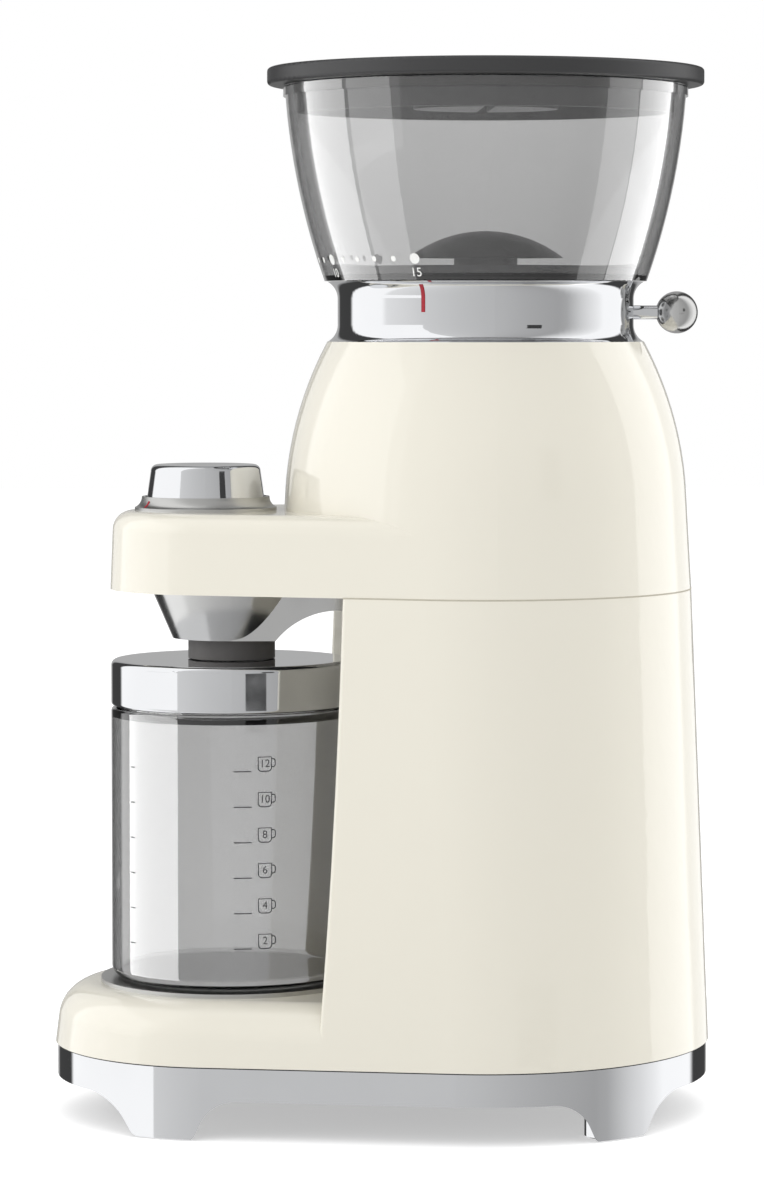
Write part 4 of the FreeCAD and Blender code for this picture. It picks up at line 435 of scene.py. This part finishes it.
def solder_mask_board(name):
    # Glass epoxy board under green solder mask: glossy over a faint weave.
    sockets = {"IOR": 1.5, "Coat Weight": 0.4, "Coat Roughness": 0.1}
    material, tree, shader = new_surface(name, sockets)
    mottle(tree, shader, 1.2, srgb("2f6b45"), 0.12)
    grain(tree, shader, 0.9, 0.006, (0.3, 0.4))
    return material


def white_screen_ink(name):
    # Screen printed ink: opaque white with the slight tooth of the mesh.
    material, tree, shader = new_surface(name, {"IOR": 1.48})
    mottle(tree, shader, 1.5, colours().white_print, 0.04)
    grain(tree, shader, 0.4, 0.004, (0.4, 0.5))
    return material


def grey_screen_ink(name):
    # Screen printed ink: charcoal with the slight tooth of the mesh.
    material, tree, shader = new_surface(name, {"IOR": 1.48})
    mottle(tree, shader, 1.5, colours().grey_print, 0.06)
    grain(tree, shader, 0.4, 0.004, (0.4, 0.5))
    return material


def red_screen_ink(name):
    # Pad printed ink: red with a soft gloss.
    material, tree, shader = new_surface(name, {"IOR": 1.48})
    mottle(tree, shader, 1.5, colours().red_print, 0.06)
    grain(tree, shader, 0.5, 0.003, (0.3, 0.4))
    return material


def joint_foam(name):
    # Painted shade: a pale, matt strip a little darker than the enamel, standing in for the shadow
    # in the seam of the shells.
    material, tree, shader = new_surface(name, {"IOR": 1.45})
    mottle(tree, shader, 4.0, srgb("bdb7a7"), 0.08)
    grain(tree, shader, 0.8, 0.02, (0.7, 0.85))
    return material


def finish(make):
    """The material of that name, made the first time it is asked for."""
    return bpy.data.materials.get(make.__name__) or make(make.__name__)


def dress(make, *nodes):
    """Give nodes or pieces one finish."""
    material = finish(make)
    for node in nodes:
        mesh = (frame["nodes"][node] if isinstance(node, str) else node).data
        mesh.materials.clear()
        mesh.materials.append(material)


def add_piece(name, mesh, body, make):
    """Put a mesh into the scene as a piece that rides on a body."""
    mesh.name = name
    piece = bpy.data.objects.new(name, mesh)
    bpy.context.scene.collection.objects.link(piece)
    dress(make, piece)
    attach(piece, body)


def join_meshes(parts):
    """One mesh out of several, which are used up."""
    build = bmesh.new()
    for part in parts:
        build.from_mesh(part)
        bpy.data.meshes.remove(part)
    mesh = bpy.data.meshes.new("joined")
    build.to_mesh(mesh)
    build.free()
    return mesh


def arc_wall(low, high, curve):
    """Radius by height of a wall on an arc between two (radius, height) ends; hollow if negative."""
    low, high = Vector(low), Vector(high)
    chord = high - low
    side = math.copysign(1.0, curve)
    normal = Vector((chord.y, -chord.x)).normalized()
    reach = math.sqrt(curve * curve - chord.length_squared / 4)
    centre = (low + high) / 2 - side * reach * normal
    return lambda z: centre.x + side * math.sqrt(curve * curve - (z - centre.y) ** 2)


def wrap_print(mesh, centre_y, wall, turn, height):
    """Bend a flat print onto a round wall: x runs round it, y runs up and z stands off it."""
    lift = sizes().print_lift
    for vertex in mesh.vertices:
        x, y, z = vertex.co
        radius = wall(height + y) + z + lift
        angle = turn + x / wall(height)
        vertex.co = (radius * math.cos(angle), centre_y + radius * math.sin(angle), height + y)
    return mesh


def disc_print(width):
    """Flat round dot."""
    build = bmesh.new()
    thick = sizes().print_lift
    foot_r = width / 2
    top_r = foot_r - thick / 2
    bmesh.ops.create_cone(
        build, cap_ends=True, segments=28, radius1=foot_r, radius2=top_r, depth=thick
    )
    mesh = bpy.data.meshes.new("dot")
    build.to_mesh(mesh)
    build.free()
    return mesh


def from_curve(curve):
    """Mesh of a curve or text, which is used up, flattened to the thickness of a print."""
    holder = bpy.data.objects.new("print_curve", curve)
    mesh = bpy.data.meshes.new_from_object(holder)
    bpy.data.objects.remove(holder)
    bpy.data.curves.remove(curve)
    tallest = max(abs(vertex.co.z) for vertex in mesh.vertices)
    for vertex in mesh.vertices:
        vertex.co.z *= sizes().print_lift / 2 / tallest
    return mesh


def number_print(number, height):
    """Flat number, centred."""
    cap_share = 0.70
    text = bpy.data.curves.new("number", "FONT")
    text.body = str(number)
    text.align_x = "CENTER"
    text.align_y = "CENTER"
    text.size = height / cap_share
    text.extrude = sizes().print_lift / 2
    return from_curve(text)


def line_print(points, width, closed=False):
    """Flat drawn line through (x, y) points."""
    curve = bpy.data.curves.new("line", "CURVE")
    curve.dimensions = "3D"
    curve.bevel_depth = width / 2
    curve.bevel_resolution = 2
    curve.use_fill_caps = True
    spline = curve.splines.new("POLY")
    spline.points.add(len(points) - 1)
    for point, (x, y) in zip(spline.points, points):
        point.co = (x, y, 0.0, 1.0)
    spline.use_cyclic_u = closed
    return from_curve(curve)


def hull_lean(rear_r, front_r):
    """Lean of the sides that join a circle on the column's axis to one on the jar's axis."""
    return math.asin((rear_r - front_r) / (COLUMN_Y - JAR_Y))


def round_path(centre_y, radius, start, end):
    """Points and outward normals of a level arc."""
    steps = 96
    path = []
    for i in range(steps + 1):
        angle = start + (end - start) * i / steps
        normal = Vector((math.cos(angle), math.sin(angle)))
        path.append((Vector((0.0, centre_y)) + radius * normal, normal))
    return path


def strip_mesh(path, low, high):
    """Thin strip let into a wall along a path of points and normals, between two heights."""
    proud, deep = 0.05 * MM, 0.6 * MM
    build = bmesh.new()
    rings = []
    for point, normal in path:
        ring = []
        for reach, height in ((proud, low), (proud, high), (-deep, high), (-deep, low)):
            place = point + reach * normal
            ring.append(build.verts.new((place.x, place.y, height)))
        rings.append(ring)
    for first, second in zip(rings, rings[1:]):
        for i in range(4):
            j = (i + 1) % 4
            build.faces.new((first[i], second[i], second[j], first[j]))
    build.faces.new(rings[0])
    build.faces.new(reversed(rings[-1]))
    bmesh.ops.recalc_face_normals(build, faces=build.faces)
    mesh = bpy.data.meshes.new("strip")
    build.to_mesh(mesh)
    build.free()
    return mesh


def arc_points(x, y, radius, start, end):
    """Points of a flat arc between two angles in degrees."""
    steps = 6
    turns = [math.radians(start + (end - start) * i / steps) for i in range(steps + 1)]
    return [(x + radius * math.cos(turn), y + radius * math.sin(turn)) for turn in turns]


class GRINDER_OT_shells(bpy.types.Operator):
    """Paint the two shells, lay a painted shadow line along the seam between them and a black
    painted shadow line under them
    """

    bl_idname = "grinder.shells"
    bl_label = "Painted shells"

    def execute(self, context):
        dress(cream_gloss_enamel, "lower_shell", "upper_shell")
        tall = 0.28 * MM
        # A strip darker than the enamel along the seam: painted shadow of the gap between the
        # shells.
        joint = strip_mesh(self.seam_path(), SEAM_Z - tall, SEAM_Z + tall)
        add_piece("seam_shadow_strip", joint, "housing", joint_foam)
        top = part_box("base_frame")[1][2]
        # A near-black strip round the top of the base frame: painted shadow of the joint between the
        # cream shell and the chrome frame.
        base_shadow_line = strip_mesh(self.foot_path(), top - 2 * tall, top)
        add_piece("base_shadow_strip", base_shadow_line, "housing", black_rubber)
        return {"FINISHED"}

    @staticmethod
    def seam_path():
        """Line round the column at the seam, from one side of the jar bay to the other."""
        column_r = size_of("upper_shell").x / 2
        arm_r, bay_r, wing_round = 46.8 * MM, 75.0 * MM, 1.6 * MM
        edge_r = bay_r + wing_round
        lean = hull_lean(column_r, arm_r)
        out = Vector((math.cos(lean), -math.sin(lean)))
        along = Vector((-math.sin(lean), -math.cos(lean)))
        touch = Vector((0.0, COLUMN_Y)) + column_r * out
        offset = touch - Vector((0.0, JAR_Y))
        half = offset.dot(along)
        run = -half - math.sqrt(half * half - offset.length_squared + edge_r * edge_r)
        path = [(touch + along * run, out)]
        path += round_path(COLUMN_Y, column_r, -lean, math.pi + lean)
        path.append((Vector((-path[0][0].x, path[0][0].y)), Vector((-out.x, out.y))))
        return path

    @staticmethod
    def foot_path():
        """Closed line round the base frame."""
        low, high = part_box("base_frame")
        rear_r, front_r = high[1] - COLUMN_Y, JAR_Y - low[1]
        lean = hull_lean(rear_r, front_r)
        path = round_path(COLUMN_Y, rear_r, -lean, math.pi + lean)
        path += round_path(JAR_Y, front_r, math.pi + lean, TURN - lean)
        return path + path[:1]


class GRINDER_OT_base(bpy.types.Operator):
    """Plate the base frame and finish what lies under it"""

    bl_idname = "grinder.base"
    bl_label = "Plated base"

    def execute(self, context):
        dress(bright_chrome_plate, "base_frame")
        dress(black_rubber, "foot_pads")
        dress(black_polyamide, "base_plate", "cord_gland")
        dress(zinc_plated_steel, "base_screws")
        return {"FINISHED"}


class GRINDER_OT_collar(bpy.types.Operator):
    """Plate the collar and the ball lever, and print the pointer"""

    bl_idname = "grinder.collar"
    bl_label = "Collar and lever"

    def execute(self, context):
        dress(bright_chrome_plate, "neck_collar", "lever_rod")
        dress(cast_spout_plate, "lever_ball")
        low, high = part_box("neck_collar")
        edge_r = (high[0] - low[0]) / 2
        waist_r, flare_h, flare = 57.35 * MM, 6.5 * MM, 7.41 * MM
        knee = high[2] - flare_h
        upper = arc_wall((waist_r, knee), (edge_r, high[2]), -flare)

        def wall(height):
            return upper(height) if height > knee else waist_r

        width, length, drop = 1.6 * MM, 12.0 * MM, 0.6 * MM
        middle = high[2] - drop - length / 2
        run = length / 2 - width / 2
        steps = 12
        line = [(0.0, run * (1 - 2 * i / steps)) for i in range(steps + 1)]
        mesh = wrap_print(line_print(line, width), COLUMN_Y, wall, sizes().pointer_turn, middle)
        add_piece("pointer_mark", mesh, "housing", red_screen_ink)
        return {"FINISHED"}


class GRINDER_OT_hopper(bpy.types.Operator):
    """Tint the hopper, finish its floor and guard, and print the grind scale"""

    bl_idname = "grinder.hopper"
    bl_label = "Hopper"

    def execute(self, context):
        dress(hopper_smoke, "hopper_bowl")
        dress(grained_abs, "hopper_base", "bean_guard")
        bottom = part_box("hopper_bowl")[0][2]
        foot_r, top_r, wall_h, curve = 62.4 * MM, 77.4 * MM, 71.2 * MM, 280.0 * MM
        wall = arc_wall((foot_r, bottom), (top_r, bottom + wall_h), curve)
        dot_z = bottom + 7.9 * MM
        number_z = bottom + 2.7 * MM
        last, large_every = 15, 5
        parts = []
        for setting in range(1, last + 1):
            turn = sizes().pointer_turn + (setting - last) * sizes().setting_step
            large = setting % large_every == 0 or setting == 1
            dot = disc_print(sizes().large_dot if large else sizes().small_dot)
            parts.append(wrap_print(dot, COLUMN_Y, wall, turn, dot_z))
            if large:
                number = number_print(setting, sizes().setting_digit)
                parts.append(wrap_print(number, COLUMN_Y, wall, turn, number_z))
        add_piece("grind_scale", join_meshes(parts), "hopper", white_screen_ink)
        return {"FINISHED"}


class GRINDER_OT_lid(bpy.types.Operator):
    """Finish the lid and its seal"""

    bl_idname = "grinder.lid"
    bl_label = "Lid"

    def execute(self, context):
        dress(grained_abs, "hopper_lid")
        dress(grey_silicone, "lid_seal")
        return {"FINISHED"}


class GRINDER_OT_dial(bpy.types.Operator):
    """Plate the dial, turn its bezel and print its mark"""

    bl_idname = "grinder.dial"
    bl_label = "Dial"

    def execute(self, context):
        dress(bright_chrome_plate, "knob")
        dress(bezel_satin, "knob_bezel")
        low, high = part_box("knob_bezel")
        foot_r = (high[0] - low[0]) / 2
        edge_h, lip_r, hollow = 1.2 * MM, 24.7 * MM, 4.4 * MM
        wall = arc_wall((foot_r, low[2] + edge_h), (lip_r, high[2]), -hollow)
        width, length, turn = 1.4 * MM, 2.4 * MM, math.radians(-60.0)
        mark = line_print([(0.0, -length / 2), (0.0, 0.0), (0.0, length / 2)], width)
        middle = (low[2] + high[2]) / 2
        mesh = wrap_print(mark, DIAL_Y, wall, turn, middle)
        add_piece("dial_mark", mesh, "housing", red_screen_ink)
        return {"FINISHED"}


class GRINDER_OT_spout(bpy.types.Operator):
    """Finish the spout, its rubber ring and the plate round it"""

    bl_idname = "grinder.spout"
    bl_label = "Spout"

    def execute(self, context):
        dress(cast_spout_plate, "spout")
        dress(grey_silicone, "spout_gasket")
        dress(black_polyamide, "arm_underplate", "chute")
        return {"FINISHED"}


class GRINDER_OT_jar(bpy.types.Operator):
    """Tint the jar, plate its cap, finish its seat and print the cup scale"""

    bl_idname = "grinder.jar"
    bl_label = "Jar"

    def execute(self, context):
        dress(jar_smoke, "jar")
        dress(bright_chrome_plate, "jar_cap")
        dress(seat_satin, "jar_seat")
        dress(grey_silicone, "cap_seal")
        first_z, step_z = 69.2 * MM, 13.45 * MM
        tick_turn, tick_w = math.radians(4.95), 6.8 * MM
        front_turn, front_w = math.radians(-54.0), 2.6 * MM
        icon_turn = math.radians(15.5)
        cup_w, cup_h, stroke = 5.2 * MM, 5.4 * MM, 0.42 * MM
        number_rise = 0.52 * cup_h
        marks, cups_a_mark = 6, 2
        parts = []
        for mark in range(marks):
            height = first_z + mark * step_z
            for turn, width in ((tick_turn, tick_w), (front_turn, front_w)):
                tick = line_print(self.tick(width), stroke)
                parts.append(wrap_print(tick, JAR_Y, self.wall, turn, height))
            cup = line_print(self.cup(cup_w, cup_h), stroke, True)
            parts.append(wrap_print(cup, JAR_Y, self.wall, icon_turn, height))
            handle = line_print(self.handle(cup_w, cup_h), stroke)
            parts.append(wrap_print(handle, JAR_Y, self.wall, icon_turn, height))
            number = number_print(cups_a_mark * (mark + 1), sizes().cup_digit)
            parts.append(wrap_print(number, JAR_Y, self.wall, icon_turn, height + number_rise))
        add_piece("cup_scale", join_meshes(parts), "jar", grey_screen_ink)
        return {"FINISHED"}

    @staticmethod
    def wall(height):
        """Radius of the jar's straight wall."""
        return JAR_R

    @staticmethod
    def tick(width):
        """Points of a level tick."""
        steps = 10
        return [(width * (i / steps - 0.5), 0.0) for i in range(steps + 1)]

    @staticmethod
    def cup(width, height):
        """Outline of a mug with a rounded foot."""
        half, bend = width / 2, 1.4 * MM
        left = arc_points(bend - half, bend, bend, -180.0, -90.0)
        right = arc_points(half - bend, bend, bend, -90.0, 0.0)
        return [(-half, height), *left, *right, (half, height)]

    @staticmethod
    def handle(width, height):
        """Outline of a mug's ear."""
        half, out, bend = width / 2, 1.5 * MM, 0.9 * MM
        high, low = 0.86 * height, 0.30 * height
        upper = arc_points(half + out - bend, high - bend, bend, 90.0, 0.0)
        lower = arc_points(half + out - bend, low + bend, bend, 0.0, -90.0)
        return [(half, high), *upper, *lower, (half, low)]


class GRINDER_OT_inside(bpy.types.Operator):
    """Finish the pieces inside the housing"""

    bl_idname = "grinder.inside"
    bl_label = "Inside"

    def execute(self, context):
        dress(black_polyamide, "lock_ring", "adjuster_ring", "burr_carrier", "burr_chamber")
        dress(black_polyamide, "gear_case", "sweeper", "motor_end_cap", "encoder", "encoder_rotor")
        dress(white_acetal, "output_gear", "idler_gear")
        dress(ground_burr_steel, "ring_burr", "cone_burr", "burr_shaft", "burr_nut")
        dress(ground_burr_steel, "idler_pin", "encoder_shaft")
        dress(zinc_plated_steel, "collar_screws", "chassis_screws", "motor_screws")
        dress(rolled_motor_steel, "motor_can", "motor_rotor")
        dress(sintered_ferrite, "motor_magnets")
        dress(oiled_bronze, "shaft_bushes", "motor_pinion")
        dress(cast_chassis_aluminium, "chassis_plate", "chassis_posts")
        dress(black_rubber, "shaft_seal")
        dress(solder_mask_board, "control_board")
        return {"FINISHED"}


# Brightness of the studio round the grinder as a mirror sees it, by degrees from +X towards +Y.
PANELS = (
    (-180, 0.45),
    (-166, 0.45),
    (-160, 0.06),
    (-133, 0.06),
    (-129, 1.25),
    (-91, 1.25),
    (-86, 0.98),
    (-56, 0.82),
    (-25, 0.70),
    (0, 0.62),
    (30, 0.52),
    (55, 0.46),
    (62, 0.5),
    (76, 0.8),
    (94, 1.1),
    (101, 1.25),
    (129, 1.25),
    (134, 0.06),
    (160, 0.06),
    (166, 0.45),
    (180, 0.45),
)
# Cards in the studio: place and half width in degrees, rise and half its span, brightness.
# The rise is the upward part of a sight line of length 1.
CARDS = (
    (-72.0, 19.0, -0.135, 0.105, 1.25),
    (-72.0, 19.0, 0.525, 0.475, 1.25),
    (23.0, 10.0, -0.088, 0.010, 0.06),
    (35.0, 6.0, 0.21, 0.12, 0.06),
)
# Tall lamps that show only in the gloss of some nodes: name, ends in degrees, radiance, nodes.
GLOSS_PANELS = (
    ("hopper_left_panel", -128.0, -91.0, 2.6, ("hopper_bowl",)),
    ("hopper_left_card", -88.0, -58.0, 1.3, ("hopper_bowl",)),
    ("hopper_right_card", 70.0, 94.0, 1.1, ("hopper_bowl",)),
    ("hopper_right_panel", 95.0, 128.0, 2.6, ("hopper_bowl",)),
    ("jar_left_panel", -114.0, -53.0, 4.2, ("jar",)),
    ("shell_left_panel", -158.0, -62.0, 0.8, ("lower_shell", "upper_shell")),
    ("shell_right_panel", 90.0, 158.0, 1.2, ("lower_shell", "upper_shell")),
)
# Softboxes: name, place, width, height and watts.
SOFTBOXES = (
    ("left_softbox", (0.35, -1.45, 0.6), 0.9, 1.3, 6.5),
    ("right_softbox", (-0.3, 1.45, 0.6), 0.9, 1.3, 5.5),
    ("top_softbox", (0.9, 0.0, 1.9), 1.6, 1.6, 8.0),
)
# Strength of the light that matt surfaces get from all round.
EVEN_LIGHT = 0.81
# Glow that lifts the floor to white where the camera sees it, straight or through a clear piece.
FLOOR_LIFT = 0.44


def aim(thing, target):
    """Turn a lamp or camera to look at a point."""
    thing.rotation_euler = (Vector(target) - thing.location).to_track_quat("-Z", "Y").to_euler()


def seen_rays(tree):
    """Socket that is 1 for rays of the camera, of mirrors and of clear pieces."""
    path = add_node(tree, "ShaderNodeLightPath").outputs
    pair = {0: path["Is Camera Ray"], 1: path["Is Glossy Ray"]}
    both = add_node(tree, "ShaderNodeMath", pair, operation="MAXIMUM").outputs[0]
    return add_node(
        tree, "ShaderNodeMath", {0: both, 1: path["Is Transmission Ray"]}, operation="MAXIMUM"
    ).outputs[0]


def studio_world():
    """White to the camera and through clear pieces, soft panels in mirrors, even light elsewhere."""
    world = bpy.data.worlds.new("studio")
    bpy.context.scene.world = world
    world.use_nodes = True
    tree = world.node_tree
    tree.nodes.clear()
    path = add_node(tree, "ShaderNodeLightPath").outputs
    toward = add_node(tree, "ShaderNodeTexCoord").outputs["Generated"]
    split = add_node(tree, "ShaderNodeSeparateXYZ", {"Vector": toward}).outputs
    turn = add_node(tree, "ShaderNodeMath", {0: split["Y"], 1: split["X"]}, operation="ARCTAN2")
    span = {"Value": turn.outputs[0], "From Min": -math.pi, "From Max": math.pi}
    share = add_node(tree, "ShaderNodeMapRange", span)
    brightest = max(level for angle, level in PANELS)
    stops = [((angle + 180) / 360, (*[level / brightest] * 3, 1.0)) for angle, level in PANELS]
    ramp = add_node(tree, "ShaderNodeValToRGB", {"Fac": share.outputs[0]}, stops)
    even = add_node(tree, "ShaderNodeBackground", {"Color": srgb("ffffff"), "Strength": EVEN_LIGHT})
    panels = {0: ramp.outputs[0], 1: brightest}
    shine = add_node(tree, "ShaderNodeMath", panels, operation="MULTIPLY").outputs[0]
    for place, half, rise, half_rise, level in CARDS:
        round_it = {0: turn.outputs[0], 1: math.radians(place), 2: math.radians(half)}
        across = add_node(tree, "ShaderNodeMath", round_it, operation="COMPARE")
        up_it = {0: split["Z"], 1: rise, 2: half_rise}
        up = add_node(tree, "ShaderNodeMath", up_it, operation="COMPARE")
        both = {0: across.outputs[0], 1: up.outputs[0]}
        inside = add_node(tree, "ShaderNodeMath", both, operation="MULTIPLY")
        # Sockets 2 and 3 are the two numbers that are mixed.
        blend = {0: inside.outputs[0], 2: shine, 3: level}
        shine = add_node(tree, "ShaderNodeMix", blend).outputs[0]
    mirror = add_node(tree, "ShaderNodeBackground", {"Color": srgb("ffffff"), "Strength": shine})
    white = add_node(tree, "ShaderNodeBackground", {"Color": srgb("ffffff"), "Strength": 1.0})
    lit = add_node(
        tree,
        "ShaderNodeMixShader",
        {0: path["Is Glossy Ray"], 1: even.outputs[0], 2: mirror.outputs[0]},
    )
    clear = {0: path["Is Camera Ray"], 1: path["Is Transmission Ray"]}
    through = add_node(tree, "ShaderNodeMath", clear, operation="MAXIMUM")
    shown = add_node(
        tree, "ShaderNodeMixShader", {0: through.outputs[0], 1: lit.outputs[0], 2: white.outputs[0]}
    )
    add_node(tree, "ShaderNodeOutputWorld", {"Surface": shown.outputs[0]})


def studio_floor():
    """Wide pale floor that keeps the shadow."""
    build = bmesh.new()
    bmesh.ops.create_grid(build, x_segments=24, y_segments=24, size=6.0)
    mesh = bpy.data.meshes.new("studio_floor")
    build.to_mesh(mesh)
    build.free()
    floor = bpy.data.objects.new("studio_floor", mesh)
    bpy.context.scene.collection.objects.link(floor)
    sockets = {"Base Color": srgb("f2f2f2"), "Roughness": 0.9, "Specular IOR Level": 0.0}
    material, tree, shader = new_surface("matt_white_floor", sockets)
    shader.inputs["Emission Color"].default_value = srgb("ffffff")
    seen = {0: seen_rays(tree), 1: FLOOR_LIFT}
    glow = add_node(tree, "ShaderNodeMath", seen, operation="MULTIPLY")
    tree.links.new(glow.outputs[0], shader.inputs["Emission Strength"])
    mesh.materials.append(material)
    floor.visible_glossy = False


def softbox(name, place, target, width, height, watts):
    """Rectangular lamp."""
    lamp = bpy.data.lights.new(name, "AREA")
    lamp.shape = "RECTANGLE"
    lamp.size, lamp.size_y = width, height
    lamp.energy = watts
    holder = bpy.data.objects.new(name, lamp)
    bpy.context.scene.collection.objects.link(holder)
    holder.location = place
    aim(holder, target)
    holder.visible_camera = False
    holder.visible_glossy = False
    holder.visible_transmission = False
    return holder


def gloss_panel(name, start, end, radiance, nodes):
    """Tall upright lamp between two angles that shows only in the gloss of the named nodes."""
    distance, height = 3.0, 7.0
    middle, half = math.radians(start + end) / 2, math.radians(end - start) / 2
    width = 2 * distance * math.tan(half)
    place = Vector((distance * math.cos(middle), distance * math.sin(middle), 0.0))
    watts = radiance * math.pi * width * height
    holder = softbox(name, place, (0.0, 0.0, 0.0), width, height, watts)
    holder.visible_glossy = True
    holder.visible_diffuse = False
    holder.light_linking.receiver_collection = bpy.data.collections.new(name)
    for node in nodes:
        holder.light_linking.receiver_collection.objects.link(frame["nodes"][node])


class GRINDER_OT_studio(bpy.types.Operator):
    """Set up the floor, the lamps and the camera"""

    bl_idname = "grinder.studio"
    bl_label = "Studio"

    def execute(self, context):
        studio_world()
        studio_floor()
        target = (0.0, 0.0, 0.22)
        for name, place, width, height, watts in SOFTBOXES:
            softbox(name, place, target, width, height, watts)
        for panel in GLOSS_PANELS:
            gloss_panel(*panel)
        camera = bpy.data.cameras.new("camera")
        camera.lens = 126.3
        camera.sensor_width = 36.0
        camera.shift_x = -0.0615
        camera.shift_y = -0.093
        camera.clip_end = 50.0
        holder = bpy.data.objects.new("camera", camera)
        context.scene.collection.objects.link(holder)
        distance, turn, height = 1.632, math.radians(-2.0), 0.307
        yaw, pitch = math.radians(-3.0), math.radians(2.3)
        place = Vector((distance * math.cos(turn), distance * math.sin(turn), height))
        holder.location = place
        aim(holder, place - Vector((math.cos(yaw), math.sin(yaw), math.tan(pitch))))
        context.scene.camera = holder
        context.scene.view_settings.view_transform = "Standard"
        return {"FINISHED"}


class GRINDER_PT_panel(bpy.types.Panel):
    """Sidebar list of the grinder's pieces"""

    bl_idname = "GRINDER_PT_panel"
    bl_label = "Burr coffee grinder"
    bl_space_type = "VIEW_3D"
    bl_region_type = "UI"
    bl_category = "Grinder"

    def draw(self, context):
        for group in (colours(), sizes()):
            column = self.layout.column()
            for key in group.bl_rna.properties.keys():
                if key not in ("rna_type", "name"):
                    column.prop(group, key)
        for operator in OPERATORS:
            self.layout.operator(operator.bl_idname)


OPERATORS = (
    GRINDER_OT_shells,
    GRINDER_OT_base,
    GRINDER_OT_collar,
    GRINDER_OT_hopper,
    GRINDER_OT_lid,
    GRINDER_OT_dial,
    GRINDER_OT_spout,
    GRINDER_OT_jar,
    GRINDER_OT_inside,
    GRINDER_OT_studio,
)
CLASSES = (GrinderColours, GrinderSizes, *OPERATORS, GRINDER_PT_panel)


def register():
    for entry in CLASSES:
        bpy.utils.register_class(entry)
    bpy.types.Scene.grinder_colours = bpy.props.PointerProperty(type=GrinderColours)
    bpy.types.Scene.grinder_sizes = bpy.props.PointerProperty(type=GrinderSizes)


def unregister():
    del bpy.types.Scene.grinder_sizes
    del bpy.types.Scene.grinder_colours
    for entry in reversed(CLASSES):
        bpy.utils.unregister_class(entry)


def main():
    register()
    bpy.ops.grinder.shells()
    bpy.ops.grinder.base()
    bpy.ops.grinder.collar()
    bpy.ops.grinder.hopper()
    bpy.ops.grinder.lid()
    bpy.ops.grinder.dial()
    bpy.ops.grinder.spout()
    bpy.ops.grinder.jar()
    bpy.ops.grinder.inside()
    bpy.ops.grinder.studio()


if __name__ == "__main__":
    main()
